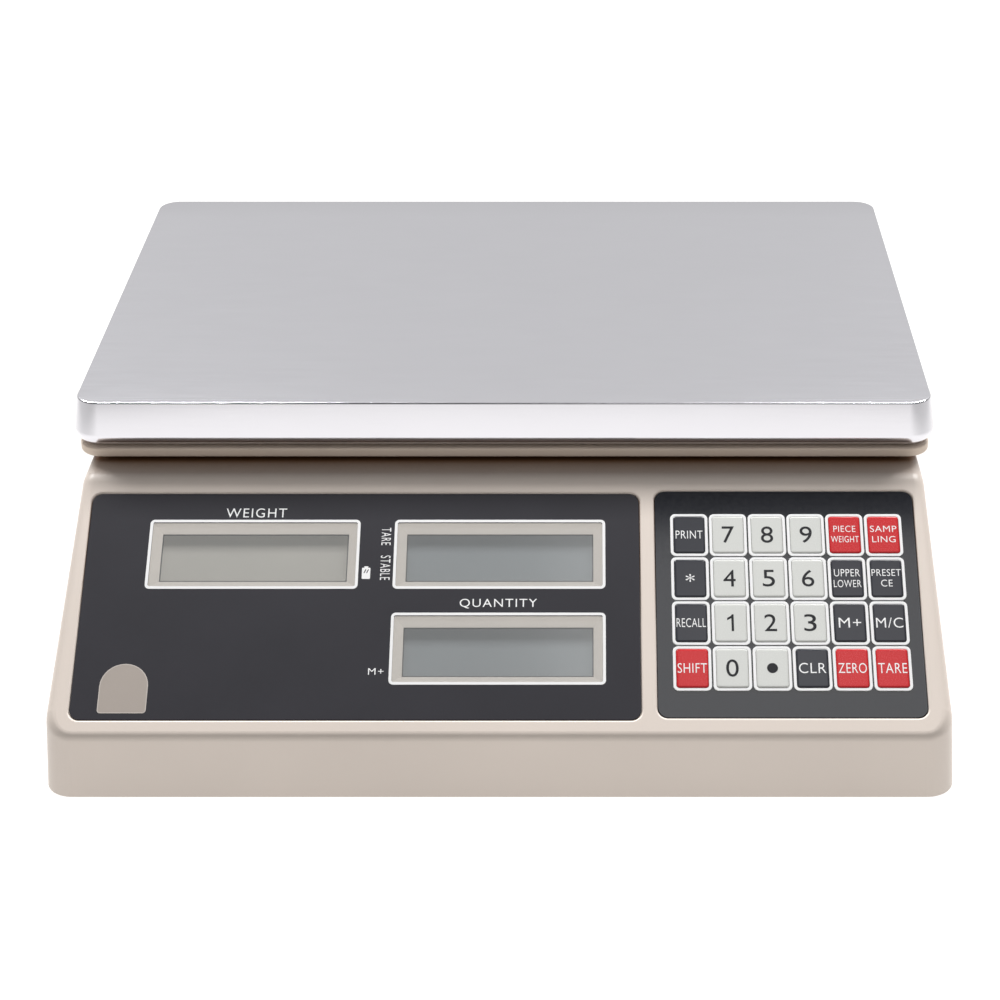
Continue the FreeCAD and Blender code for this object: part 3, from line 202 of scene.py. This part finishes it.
def moulded(name, colour, rough=(0.42, 0.56), grain=1600, depth=0.012 * MM, painted_shade=None):
    """Moulded plastic: faint cloudiness, fine spark texture, uneven gloss; an optional darker colour is painted in
    as shade where the surface lies in recesses.
    """
    patch = 0.03
    paint = Paint(name)
    cloud = paint.noise(14, 4.0)
    speck = paint.noise(grain, 2.0)
    body = paint.mix(paint.span(cloud, 0, 1), shade(colour, 1 - patch), shade(colour, 1 + patch))
    if painted_shade:
        # painted shade: the darker colour is mixed in where the surface lies deep among other parts
        body = paint.mix(paint.openness(), painted_shade, body)
    paint.use(Base_Color=body, Roughness=paint.span(speck, *rough), Normal=paint.relief(speck, depth))
    return paint.material


def metal(name, colour, rough, grain=900, depth=0.01 * MM, stretch=(1, 1, 1), patch=0.05):
    """Bare metal with a grain that the stretch turns into brush or mill lines."""
    paint = Paint(name).set(Metallic=1.0)
    cloud = paint.noise(20, 3.0)
    line = paint.noise(grain, 3.0, stretch)
    body = paint.mix(paint.span(cloud, 0, 1), shade(colour, 1 - patch), shade(colour, 1 + patch))
    paint.use(Base_Color=body, Roughness=paint.span(line, *rough), Normal=paint.relief(line, depth))
    return paint.material


def film(name, colour, rough, depth=0.004 * MM, grain=700, patch=0.06, coat=0.0, specular=0.5):
    """Printed plastic film: ink seen through a smooth or velvet face."""
    paint = Paint(name).set(Coat_Weight=coat, Coat_Roughness=0.08, Specular_IOR_Level=specular)
    cloud = paint.noise(30, 2.0)
    velvet = paint.noise(grain, 2.0)
    body = paint.mix(paint.span(cloud, 0, 1), shade(colour, 1 - patch), shade(colour, 1 + patch))
    paint.use(Base_Color=body, Roughness=paint.span(velvet, *rough), Normal=paint.relief(velvet, depth))
    return paint.material


def make_materials():
    steel = (0.735, 0.728, 0.765, 1.0)
    aluminium = (0.78, 0.79, 0.8, 1.0)
    made = {
        # the housing's brown second colour is painted shade, laid where the housing lies in recesses under the pan
        "housing_abs": moulded("housing_abs", srgb(227, 215, 205), (0.38, 0.5), painted_shade=srgb(114, 80, 52)),
        "base_abs": moulded("base_abs", srgb(190, 180, 165), (0.5, 0.65), 900, 0.03 * MM),
        "tray_abs": moulded("tray_abs", srgb(230, 212, 195), (0.45, 0.6)),
        "pan_steel": metal("pan_steel", steel, (0.15, 0.19), 2600, 0.0003 * MM, (0.02, 1, 1), 0.006),
        "zinc_screws": metal("zinc_screws", (0.66, 0.65, 0.6, 1), (0.25, 0.45)),
        "overlay_matte": film("overlay_matte", srgb(46, 45, 51), (0.5, 0.6), 0.001 * MM, specular=0.25),
        "overlay_gloss": film("overlay_gloss", srgb(22, 24, 32), (0.08, 0.11), 0.0003 * MM),
        "circuit_board": film("circuit_board", srgb(24, 92, 52), (0.25, 0.4)),
        "circuit_film": film("circuit_film", srgb(196, 160, 96), (0.25, 0.4)),
        "battery_case": moulded("battery_case", srgb(52, 54, 58)),
        "core_steel": metal("core_steel", (0.3, 0.3, 0.32, 1), (0.4, 0.6), 2500, 0.05 * MM, (0.02, 0.02, 1)),
        "connector_black": moulded("connector_black", srgb(38, 38, 40), (0.35, 0.5)),
        "connector_plate": metal("connector_plate", (0.68, 0.68, 0.66, 1), (0.18, 0.3)),
        "rocker_black": moulded("rocker_black", srgb(34, 34, 36), (0.2, 0.3)),
        "cell_aluminium": metal("cell_aluminium", aluminium, (0.3, 0.4), 1500, 0.01 * MM, (0.05, 1, 1)),
        "bracket_aluminium": metal("bracket_aluminium", (0.62, 0.62, 0.63, 1), (0.45, 0.6), 700, 0.05 * MM),
        "black_bolts": metal("black_bolts", (0.05, 0.05, 0.055, 1), (0.35, 0.5)),
        "level_vial": film("level_vial", srgb(190, 214, 120), (0.05, 0.1), 0.001 * MM, coat=1.0),
        "wire_sleeve": moulded("wire_sleeve", srgb(60, 60, 62), (0.5, 0.6)),
        "foot_rubber": moulded("foot_rubber", srgb(44, 43, 42), (0.7, 0.85), 1100, 0.04 * MM),
        "wheel_plastic": moulded("wheel_plastic", srgb(54, 54, 56), (0.4, 0.55)),
        "key_white": film("key_white", srgb(214, 215, 211), (0.26, 0.28), 0.0001 * MM, 2500, 0.01),
        "key_black": film("key_black", srgb(49, 50, 57), (0.25, 0.27), 0.0001 * MM, 2500, 0.03),
        "key_red": film("key_red", srgb(204, 34, 40), (0.26, 0.28), 0.0001 * MM, 2500, 0.03),
        "ink_white": film("ink_white", srgb(246, 246, 246), (0.3, 0.4), 0.001 * MM, patch=0.005),
        "ink_grey": film("ink_grey", srgb(34, 34, 38), (0.4, 0.5), 0.0001 * MM, specular=0.3),
        "badge_film": film("badge_film", srgb(172, 162, 154), (0.4, 0.5), patch=0.02),
        "badge_line": film("badge_line", srgb(198, 190, 183), (0.35, 0.45), patch=0.01),
        "bezel": moulded("bezel", srgb(204, 197, 189), (0.45, 0.55)),
        "dark_ring": moulded("dark_ring", srgb(70, 68, 66), (0.5, 0.6)),
        "lcd_warm": film("lcd_warm", srgb(167, 164, 157), (0.12, 0.18), 0.0005 * MM, patch=0.03),
        "lcd_cool": film("lcd_cool", srgb(125, 130, 132), (0.12, 0.18), 0.0005 * MM, patch=0.03),
    }
    made["pane"] = clear_pane()
    return made


def clear_pane():
    """Clear part of the overlay film, over each window."""
    paint = Paint("pane").set(Alpha=0.08, Base_Color=(0.9, 0.92, 0.92, 1))
    haze = paint.noise(60, 2.0)
    paint.use(Roughness=paint.span(haze, 0.06, 0.1))
    return paint.material


MATERIALS = make_materials()


# ---------------------------------------------------------------- mesh helpers

WELD = 0.001 * MM
LEAST_RADIUS = 0.05 * MM


def finish_piece(name, mesh, material, body, place=None, sharp=12.0):
    """Object from a mesh, smooth but for its sharp edges, riding on a body."""
    mesh.name = name
    mesh.shade_smooth()
    mesh.set_sharp_from_angle(angle=math.radians(sharp))
    mesh.materials.clear()
    mesh.materials.append(MATERIALS[material])
    piece = bpy.data.objects.new(name, mesh)
    bpy.context.scene.collection.objects.link(piece)
    if place is not None:
        piece.matrix_world = place
    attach(piece, body)
    return piece


def rounded(size, radius, centre, steps=8):
    """Points of a rounded rectangle, anticlockwise."""
    points = []
    for quarter, (side_x, side_y) in enumerate(((1, 1), (-1, 1), (-1, -1), (1, -1))):
        middle_x = centre[0] + side_x * (size[0] / 2 - radius)
        middle_y = centre[1] + side_y * (size[1] / 2 - radius)
        for step in range(steps + 1):
            angle = math.radians(90 * (quarter + step / steps))
            points.append((middle_x + radius * math.cos(angle), middle_y + radius * math.sin(angle)))
    return points


def grown(size, amount):
    return (size[0] + 2 * amount, size[1] + 2 * amount)


def arch(size, foot, radius):
    """Points of a round-topped outline that stands on a foot point."""
    corner_steps, top_steps = 4, 16
    half = size[0] / 2
    points = []
    for side, start in ((-1, 180), (1, 270)):
        for step in range(corner_steps + 1):
            angle = math.radians(start + 90 * step / corner_steps)
            across = foot[0] + side * (half - radius)
            points.append((across + radius * math.cos(angle), foot[1] + radius + radius * math.sin(angle)))
    for step in range(top_steps + 1):
        angle = math.pi * step / top_steps
        points.append((foot[0] + half * math.cos(angle), foot[1] + size[1] - half + half * math.sin(angle)))
    return points


def sheet_mesh(outlines, low, high, bevel=0.0):
    """Closed flat sheet between two levels. An outline inside another is a hole."""
    curve = bpy.data.curves.new("outline", "CURVE")
    curve.dimensions = "2D"
    curve.fill_mode = "BOTH"
    for points in outlines:
        spline = curve.splines.new("POLY")
        spline.points.add(len(points) - 1)
        for target, (x, y) in zip(spline.points, points):
            target.co = (x, y, 0, 1)
        spline.use_cyclic_u = True
    curve.extrude = (high - low) / 2 - bevel
    curve.bevel_depth = bevel
    curve.bevel_resolution = 2
    curve.offset = -bevel
    holder = bpy.data.objects.new("outline", curve)
    mesh = bpy.data.meshes.new_from_object(holder)
    bpy.data.objects.remove(holder)
    bpy.data.curves.remove(curve)
    work = bmesh.new()
    work.from_mesh(mesh)
    bmesh.ops.remove_doubles(work, verts=work.verts, dist=WELD)
    bmesh.ops.recalc_face_normals(work, faces=work.faces)
    work.to_mesh(mesh)
    work.free()
    mesh.transform(Matrix.Translation((0, 0, (low + high) / 2)))
    return mesh


def stacked_mesh(size, radius, profile, centre, steps, capped=True):
    """Closed solid of rounded-rectangle rings at each (inset, level), from cap to cap or round in a loop."""
    work = bmesh.new()
    rings = []
    for inset, level in profile:
        outline = rounded(grown(size, -inset), max(radius - inset, LEAST_RADIUS), centre, steps)
        rings.append([work.verts.new((x, y, level)) for x, y in outline])
    count = len(rings[0])
    if not capped:
        rings.append(rings[0])
    for lower, upper in zip(rings, rings[1:]):
        for i in range(count):
            after = (i + 1) % count
            work.faces.new((lower[i], lower[after], upper[after], upper[i]))
    if capped:
        work.faces.new(list(reversed(rings[0])))
        work.faces.new(rings[-1])
    bmesh.ops.recalc_face_normals(work, faces=work.faces)
    mesh = bpy.data.meshes.new("stacked")
    work.to_mesh(mesh)
    work.free()
    return mesh


def eased(corners):
    """Profile through corners given as (inset, level, radius), each rounded to its radius."""
    steps = 8
    points = []
    spots = [Vector(corner[:2]) for corner in corners]
    for i, (inset, level, radius) in enumerate(corners):
        if not radius:
            points.append((inset, level))
            continue
        to_last = (spots[i - 1] - spots[i]).normalized()
        to_next = (spots[i + 1] - spots[i]).normalized()
        half = to_last.angle(to_next) / 2
        middle = spots[i] + (to_last + to_next).normalized() * (radius / math.sin(half))
        start = spots[i] + to_last * (radius / math.tan(half)) - middle
        end = spots[i] + to_next * (radius / math.tan(half)) - middle
        for step in range(steps + 1):
            spoke = start.lerp(end, step / steps).normalized() * radius
            points.append(tuple(middle + spoke))
    return points


def panel_box(node):
    """Lowest and highest corner of a CAD node in the panel's frame."""
    into_panel = PANEL.inverted()
    points = [into_panel @ v.co for v in frame["nodes"][node].data.vertices]
    low = Vector([min(p[i] for p in points) for i in range(3)])
    high = Vector([max(p[i] for p in points) for i in range(3)])
    return low, high


def panel_centre(node):
    low, high = panel_box(node)
    return ((low.x + high.x) / 2, (low.y + high.y) / 2)


def lettering(name, words, size, centre, level, material, body, turn=0.0, bold=0.0, spacing=1.07):
    """Printed words stretched to a width and height about a centre on the panel."""
    curve = bpy.data.curves.new("words", "FONT")
    curve.body = words
    curve.extrude = 0.01
    curve.offset = bold
    curve.space_character = spacing
    curve.resolution_u = 5
    holder = bpy.data.objects.new("words", curve)
    mesh = bpy.data.meshes.new_from_object(holder)
    bpy.data.objects.remove(holder)
    low = Vector([min(v.co[i] for v in mesh.vertices) for i in range(3)])
    high = Vector([max(v.co[i] for v in mesh.vertices) for i in range(3)])
    scale = [target / side for target, side in zip((*size, PRINT_THICK), high - low)]
    mesh.transform(Matrix.Translation(-(low + high) / 2))
    mesh.transform(Matrix.Diagonal((*scale, 1)))
    mesh.transform(Matrix.Rotation(math.radians(turn), 4, "Z"))
    mesh.transform(Matrix.Translation((*centre, level + PRINT_THICK / 2)))
    return finish_piece(name, mesh, material, body, PANEL, 30)


# ---------------------------------------------------------------- pan

PAN_GAUGE = 1.0 * MM
PAN_EDGE = 0.7 * MM
PAN_HEM = 5.0 * MM
PAN_LIP = 4.0 * MM
PAN_CORNER = 11.0 * MM
PAN_FLARE = math.radians(8)


def pan_wall(low, high, inset):
    """Lower and upper corner of the flared wall's section, offset inward by an inset."""
    hem, edge = PAN_HEM - inset, PAN_EDGE - inset
    foot = inset + hem - hem / math.tan(math.pi / 4 - PAN_FLARE / 2)
    lean = (high - low - 2 * inset) * math.tan(PAN_FLARE)
    return (foot, low + inset, hem), (foot + lean, high - inset, edge)


def weighing_pan():
    """Pressed stainless pan: flat top, round upper edge and flared walls that turn in at the bottom."""
    low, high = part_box("steel_pan")
    size = (high.x - low.x, high.y - low.y)
    centre = ((low.x + high.x) / 2, (low.y + high.y) / 2)
    inner_low, inner_high = pan_wall(low.z, high.z, PAN_GAUGE)
    outer_low, outer_high = pan_wall(low.z, high.z, 0.0)
    flat, lip = 30 * MM, PAN_LIP + 1 * MM
    corners = [(flat, high.z - PAN_GAUGE, 0), inner_high, inner_low]
    corners += [(lip, low.z + PAN_GAUGE, 0), (lip, low.z, 0)]
    corners += [outer_low, outer_high, (flat, high.z, 0)]
    mesh = stacked_mesh(size, PAN_CORNER, eased(corners), centre, 14)
    pan = finish_piece("pan_shell", mesh, "pan_steel", "pan", sharp=40)
    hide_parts("steel_pan")


# ---------------------------------------------------------------- display side of the panel

DISPLAY_BOLD = -0.003
DISPLAY_SPACING = 1.15
WINDOWS = {"weight": "lcd_weight", "unit_weight": "lcd_unit_weight", "quantity": "lcd_quantity"}


def display_overlay():
    low, high = panel_box("display_overlay")
    size = (high.x - low.x, high.y - low.y)
    centre = panel_centre("display_overlay")
    holes = [rounded(WINDOW, WINDOW_RADIUS, panel_centre(node)) for node in WINDOWS.values()]
    outlines = [rounded(size, OVERLAY_RADIUS, centre), *holes]
    mesh = sheet_mesh(outlines, low.z, FILM_TOP, 0.12 * MM)
    face = finish_piece("display_film", mesh, "overlay_matte", "base", PANEL)
    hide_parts("display_overlay")
    for name, node in WINDOWS.items():
        place = panel_centre(node)
        line = [rounded(grown(WINDOW, WINDOW_LINE), WINDOW_RADIUS + WINDOW_LINE, place)]
        line.append(rounded(WINDOW, WINDOW_RADIUS, place))
        mesh = sheet_mesh(line, FILM_TOP, FILM_TOP + PRINT_THICK)
        finish_piece(f"line_{name}", mesh, "ink_white", "base", PANEL)
        pane = rounded(grown(WINDOW, -PANE_GAP), WINDOW_RADIUS, place)
        mesh = sheet_mesh([pane], low.z, FILM_TOP - PANE_GAP)
        finish_piece(f"pane_{name}", mesh, "pane", "base", PANEL)


def badge():
    """Plain arched plate printed at the overlay's lower left, with a thin paler outline."""
    line = 0.35 * MM
    outer = arch(BADGE, BADGE_PLACE, 1.3 * MM)
    inner = arch(grown(BADGE, -line), (BADGE_PLACE[0], BADGE_PLACE[1] + line), 1.0 * MM)
    for name, outlines, finish in (("line", [outer, inner], "badge_line"), ("plate", [inner], "badge_film")):
        mesh = sheet_mesh(outlines, FILM_TOP, FILM_TOP + PRINT_THICK)
        finish_piece(f"badge_{name}", mesh, finish, "base", PANEL)


def battery_sign():
    """Small battery symbol: a solid cell with a terminal and two slanting gaps near its top."""
    x, y = (-51.85 * MM, 67.6 * MM)
    cell_size, terminal_size = (3.2 * MM, 4.8 * MM), (1.5 * MM, 0.6 * MM)
    cell = rounded(cell_size, 0.4 * MM, (x, y))
    terminal = rounded(terminal_size, 0.1 * MM, (x, y + (cell_size[1] + terminal_size[1]) / 2), 3)
    slant = ((0.0, 0.0), (0.4, 0.0), (1.1, 1.6), (0.7, 1.6))
    low = y + 0.1 * MM
    gaps = []
    for left in (x - 1.0 * MM, x):
        gaps.append([(left + across * MM, low + up * MM) for across, up in slant])
    mesh = sheet_mesh([cell, terminal, *gaps], FILM_TOP, FILM_TOP + PRINT_THICK)
    finish_piece("sign_battery", mesh, "ink_white", "base", PANEL)


def display_words():
    """Words on the display overlay: size and centre in millimetres, and turn in degrees."""
    words = {
        "WEIGHT": ((23.5, 4.0), (-95.4, 93.8), 0),
        "QUANTITY": ((29.4, 4.1), (-1.0, 54.7), 0),
        "TARE": ((7.5, 3.6), (-44.7, 83.5), -90),
        "STABLE": ((10.5, 3.8), (-44.6, 70.0), -90),
        "M+": ((5.8, 2.7), (-46.4, 26.5), 0),
    }
    for text, (size, centre, turn) in words.items():
        name = "word_" + text.lower().replace("+", "_plus")
        scaled = [side * MM for side in size]
        place = [side * MM for side in centre]
        print_style = {"turn": turn, "bold": DISPLAY_BOLD, "spacing": DISPLAY_SPACING}
        lettering(name, text, scaled, place, FILM_TOP, "ink_white", "base", **print_style)


def bezel(name, place):
    """Thin lining of a window's sloping sides."""
    skin = 0.06 * MM
    foot = LCD_FRONT + 0.15 * MM
    profile = [(0.0, BEZEL_TOP), (BEZEL_LEAN, foot)]
    profile += [(BEZEL_LEAN + skin, foot + 0.05 * MM), (skin, BEZEL_TOP + skin)]
    mesh = stacked_mesh(WINDOW, 0.3 * MM, profile, place, 3, capped=False)
    finish_piece(f"bezel_{name}", mesh, "bezel", "base", PANEL)


def displays():
    """Liquid crystal glass with a thin dark ring laid round its view, and the lining of its window."""
    step, shoulder, dark_ring = 1.8 * MM, 2.8 * MM, 0.08 * MM
    for name, node in WINDOWS.items():
        low, high = panel_box(node)
        place = panel_centre(node)
        size = (high.x - low.x, high.y - low.y)
        profile = [(2 * MM, low.z), (step, low.z), (step, high.z - shoulder), (0.0, high.z - shoulder)]
        profile += [(0.0, high.z - 0.2 * MM), (0.2 * MM, high.z), (1.0 * MM, high.z)]
        glass = "lcd_warm" if name == "weight" else "lcd_cool"
        mesh = stacked_mesh(size, 0.5 * MM, profile, place, 3)
        piece = finish_piece(f"lcd_glass_{name}", mesh, glass, "base", PANEL)
        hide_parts(node)
        bezel(name, place)
        ring = [rounded(grown(LCD_VIEW, reach), 0.3 * MM, place, 3) for reach in (0.6 * MM, -0.5 * MM)]
        mesh = sheet_mesh(ring, high.z, high.z + dark_ring)
        finish_piece(f"lcd_dark_ring_{name}", mesh, "dark_ring", "base", PANEL)


# ---------------------------------------------------------------- keypad

# The ink on each key colour, then each legend's lines: words, width, height and rise, in millimetres
KEY_COLOURS = {"key_white": "ink_grey", "key_black": "ink_white", "key_red": "ink_white"}
KEY_WORDS = {
    "print": [("PRINT", 10.4, 3.4, 0.0)],
    "piece_weight": [("PIECE", 8.5, 2.7, 2.5), ("WEIGHT", 10.7, 2.7, -2.0)],
    "sampling": [("SAMP", 10.2, 2.7, 2.5), ("LING", 9.0, 2.7, -2.0)],
    "star": [("*", 3.4, 3.4, 0.1)],
    "limits": [("UPPER", 9.9, 3.1, 2.3), ("LOWER", 10.5, 3.1, -2.3)],
    "preset_clear": [("PRESET", 11.2, 2.9, 2.4), ("CE", 4.4, 2.9, -2.1)],
    "recall": [("RECALL", 11.1, 3.7, 0.0)],
    "memory_add": [("M+", 8.5, 4.1, 0.0)],
    "memory_clear": [("M/C", 10.2, 4.2, 0.0)],
    "shift": [("SHIFT", 11.0, 4.0, 0.0)],
    "clear": [("CLR", 10.2, 4.2, 0.0)],
    "zero": [("ZERO", 10.6, 4.1, 0.0)],
    "tare": [("TARE", 10.8, 4.1, 0.0)],
}
DIGIT_SIZE = (4.7, 7.1)
DOT_SIZE = 4.1 * MM
WORD_BOLD = -0.006
ONE = [
    (0.2, -3.5), (1.1, -3.5), (1.1, 3.5), (0.5, 3.5), (0.0, 2.8), (-1.4, 1.95), (-1.4, 1.0), (0.2, 1.9),
]


def key_nodes():
    return [node for node in frame["nodes"] if node.startswith("key_")]


def keypad_overlay():
    low, high = panel_box("keypad_overlay")
    size = (high.x - low.x, high.y - low.y)
    inside = grown(KEY_RIM, -KEY_RIM_WIDTH)
    places = [panel_centre(node) for node in key_nodes()]
    edge = rounded(size, OVERLAY_RADIUS, panel_centre("keypad_overlay"))
    holes = [rounded(inside, KEY_HOLE_RADIUS, place, 5) for place in places]
    mesh = sheet_mesh([edge, *holes], low.z, FILM_TOP)
    face = finish_piece("keypad_film", mesh, "overlay_gloss", "base", PANEL)
    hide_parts("keypad_overlay")
    rims = []
    for place in places:
        rims.append(rounded(KEY_RIM, 2.0 * MM, place, 6))
        rims.append(rounded(inside, KEY_HOLE_RADIUS, place, 6))
    mesh = sheet_mesh(rims, FILM_TOP - 0.1 * MM, KEY_RIM_TOP, 0.12 * MM)
    finish_piece("keypad_rims", mesh, "ink_white", "base", PANEL)


def key_caps():
    """Embossed key pillows, each with its printed legend, riding on its own body."""
    size = grown(KEY_RIM, -(KEY_RIM_WIDTH + KEY_GAP))
    slots = {entry["node"]: entry["material_slot"] for entry in frame["record"]["subparts"]}
    crown = ((0.0, 0.4), (0.06, 0.2), (0.2, 0.07), (0.45, 0.01), (0.8, 0.0), (1.3, 0.0))
    for node in key_nodes():
        low = panel_box(node)[0]
        place = panel_centre(node)
        profile = [(0.6 * MM, low.z), (0.0, low.z)]
        profile += [(inset * MM, KEY_TOP - drop * MM) for inset, drop in crown]
        finish = slots[node]
        mesh = stacked_mesh(size, CAP_RADIUS, profile, place, 6)
        cap = finish_piece(f"cap_{node[4:]}", mesh, finish, node, PANEL, 40)
        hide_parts(node)
        key_legend(node, place, KEY_COLOURS[finish])


def key_legend(node, place, ink):
    """Words or digit of a key, or one of the two legends that are drawn: the point and the one."""
    name = node[4:]
    drawn = {
        "point": rounded((DOT_SIZE, DOT_SIZE), DOT_SIZE / 2, place),
        "1": [(place[0] + x * MM, place[1] + y * MM) for x, y in ONE],
    }
    if name in drawn:
        mesh = sheet_mesh([drawn[name]], KEY_TOP, KEY_TOP + PRINT_THICK)
        finish_piece(f"legend_{name}", mesh, ink, node, PANEL)
        return
    lines = KEY_WORDS.get(name) or [(name, *DIGIT_SIZE, 0.0)]
    for i, (words, width, height, up) in enumerate(lines):
        centre = (place[0], place[1] + up * MM)
        bold = 0.0 if len(words) == 1 else WORD_BOLD
        size = (width * MM, height * MM)
        lettering(f"legend_{name}_{i}", words, size, centre, KEY_TOP, ink, node, bold=bold)


# ---------------------------------------------------------------- CAD pieces that stay

def dress_cad():
    """Give every CAD node that still shows the finish of its slot."""
    for entry in frame["record"]["subparts"]:
        piece = frame["nodes"][entry["node"]]
        if piece.hide_render:
            continue
        piece.data.materials.clear()
        piece.data.materials.append(MATERIALS[entry["material_slot"]])


# ---------------------------------------------------------------- studio

CAMERA_PLACE = (0.03071, -0.89286, 0.51306)
CAMERA_TILT = 27.834
CAMERA_LENS = 84.86
CAMERA_SHIFT = -0.0818
REAR_ASIDE = 0.76
REAR_POWER = 41
LINING_POWER = 22
CARD_POWER = 1.16


def floor():
    """Lit white table, clear from below so that the underside can be seen through it."""
    mesh = bpy.data.meshes.new("floor")
    half = 6.0
    corners = [(-half, -half, 0), (half, -half, 0), (half, half, 0), (-half, half, 0)]
    mesh.from_pydata(corners, [], [(0, 1, 2, 3)])
    paint = Paint("floor_paper").set(Roughness=0.9, Specular_IOR_Level=0.1)
    paint.set(Emission_Color=(1.0, 0.985, 0.965, 1))
    split = paint.node("ShaderNodeSeparateXYZ")
    paint.wire(paint.place(), split.inputs["Vector"])
    aside = paint.node("ShaderNodeMath", operation="ABSOLUTE")
    paint.wire(split.outputs["X"], aside.inputs[0])
    glow, dimmed, glow_edge, dim_edge = 1.03, 0.5, 0.3, 0.6
    paint.use(Emission_Strength=paint.span(aside.outputs["Value"], glow, dimmed, glow_edge, dim_edge))
    paint.use(Base_Color=paint.mix(paint.noise(3, 2.0), (0.14, 0.14, 0.14, 1), (0.16, 0.16, 0.16, 1)))
    side = paint.node("ShaderNodeNewGeometry")
    clear = paint.node("ShaderNodeBsdfTransparent")
    either = paint.node("ShaderNodeMixShader")
    paint.wire(side.outputs["Backfacing"], either.inputs["Fac"])
    paint.wire(paint.shader.outputs["BSDF"], either.inputs[1])
    paint.wire(clear.outputs["BSDF"], either.inputs[2])
    paint.wire(either.outputs["Shader"], paint.tree.nodes["Material Output"].inputs["Surface"])
    paint.material.cycles.emission_sampling = "NONE"
    mesh.materials.append(paint.material)
    ground = bpy.data.objects.new("floor", mesh)
    bpy.context.scene.collection.objects.link(ground)


def flag():
    """Card behind the object that only shades: it keeps the rear lights off the back face, unseen itself."""
    half, foot, top, behind = 0.32, 0.001, 0.2, 0.2
    mesh = bpy.data.meshes.new("flag")
    corners = [(-half, behind, foot), (half, behind, foot), (half, behind, top), (-half, behind, top)]
    mesh.from_pydata(corners, [], [(0, 1, 2, 3)])
    mesh.materials.append(MATERIALS["foot_rubber"])
    card = bpy.data.objects.new("flag", mesh)
    card.visible_camera = card.visible_diffuse = card.visible_glossy = card.visible_transmission = False
    bpy.context.scene.collection.objects.link(card)


def softbox(name, place, size, power, aim=(0.0, 0.0, 0.05)):
    light = bpy.data.lights.new(name, "AREA")
    light.shape = "RECTANGLE"
    light.size, light.size_y = size
    light.energy = power
    holder = bpy.data.objects.new(name, light)
    holder.location = place
    holder.rotation_euler = (Vector(aim) - Vector(place)).to_track_quat("-Z", "Y").to_euler()
    bpy.context.scene.collection.objects.link(holder)
    return holder


def link_linings(light, state):
    """Let a light reach only the window linings, or all but them."""
    group = bpy.data.collections.new("linings")
    for name in WINDOWS:
        group.objects.link(bpy.data.objects[f"bezel_{name}"])
    for entry in group.collection_objects:
        entry.light_linking.link_state = state
    light.light_linking.receiver_collection = group


def sky():
    """Studio tent: pale behind the object, with a weaker band round the horizon and dim elsewhere."""
    world = bpy.data.worlds.new("studio")
    bpy.context.scene.world = world
    world.use_nodes = True
    world.cycles.sampling_method = "NONE"
    tree = world.node_tree
    back = tree.nodes["Background"]
    coordinates = tree.nodes.new("ShaderNodeTexCoord")
    split = tree.nodes.new("ShaderNodeSeparateXYZ")
    tree.links.new(coordinates.outputs["Generated"], split.inputs["Vector"])

    def ramp(axis, low, stops):
        span = tree.nodes.new("ShaderNodeMapRange")
        span.inputs["From Min"].default_value = low
        made = tree.nodes.new("ShaderNodeValToRGB")
        tree.links.new(split.outputs[axis], span.inputs["Value"])
        tree.links.new(span.outputs["Result"], made.inputs["Fac"])
        for element, (position, level) in zip(made.color_ramp.elements, stops):
            element.position = position
            element.color = (level, level, level, 1)
        return made.outputs["Color"]

    rear = ramp("Y", -1.0, ((0.5, 0.06), (0.85, 0.675)))
    band = ramp("Z", 0.0, ((0.1, 0.36), (0.9, 0.1)))
    lighter = tree.nodes.new("ShaderNodeMix")
    lighter.data_type = "RGBA"
    lighter.blend_type = "LIGHTEN"
    lighter.inputs["Factor"].default_value = 1.0
    pair = [socket for socket in lighter.inputs if socket.type == "RGBA"]
    tree.links.new(rear, pair[0])
    tree.links.new(band, pair[1])
    result = next(socket for socket in lighter.outputs if socket.type == "RGBA")
    tree.links.new(result, back.inputs["Color"])
    back.inputs["Strength"].default_value = 1.0


def camera():
    """Camera in front of the scale and above it, looking straight back and down."""
    data = bpy.data.cameras.new("camera")
    data.sensor_width = 36.0
    data.lens = CAMERA_LENS
    data.shift_x = CAMERA_SHIFT
    holder = bpy.data.objects.new("camera", data)
    holder.location = CAMERA_PLACE
    holder.rotation_euler = (math.radians(90 - CAMERA_TILT), 0, 0)
    bpy.context.scene.collection.objects.link(holder)
    bpy.context.scene.camera = holder


def studio():
    """Two long soft lights behind, one in front for the window linings alone, and a weak card above."""
    floor()
    flag()
    sky()
    for name, x in (("rear_left_light", -REAR_ASIDE), ("rear_right_light", REAR_ASIDE)):
        rear = softbox(name, (x, 0.93, 1.5), (0.9, 0.25), REAR_POWER, (x, 0.0, 0.05))
        link_linings(rear, "EXCLUDE")
    lining = softbox("lining_light", (0.0, -0.7, 1.7), (0.6, 0.6), LINING_POWER)
    link_linings(lining, "INCLUDE")
    card_x, card_y = 0.25, -0.405
    softbox("gloss_card", (card_x, card_y, 1.5), (0.5, 0.34), CARD_POWER, (card_x, card_y, 0.0))
    scene = bpy.context.scene
    scene.view_settings.view_transform = "Standard"
    scene.cycles.use_denoising = True


camera()
weighing_pan()
display_overlay()
badge()
battery_sign()
display_words()
displays()
keypad_overlay()
key_caps()
dress_cad()
studio()
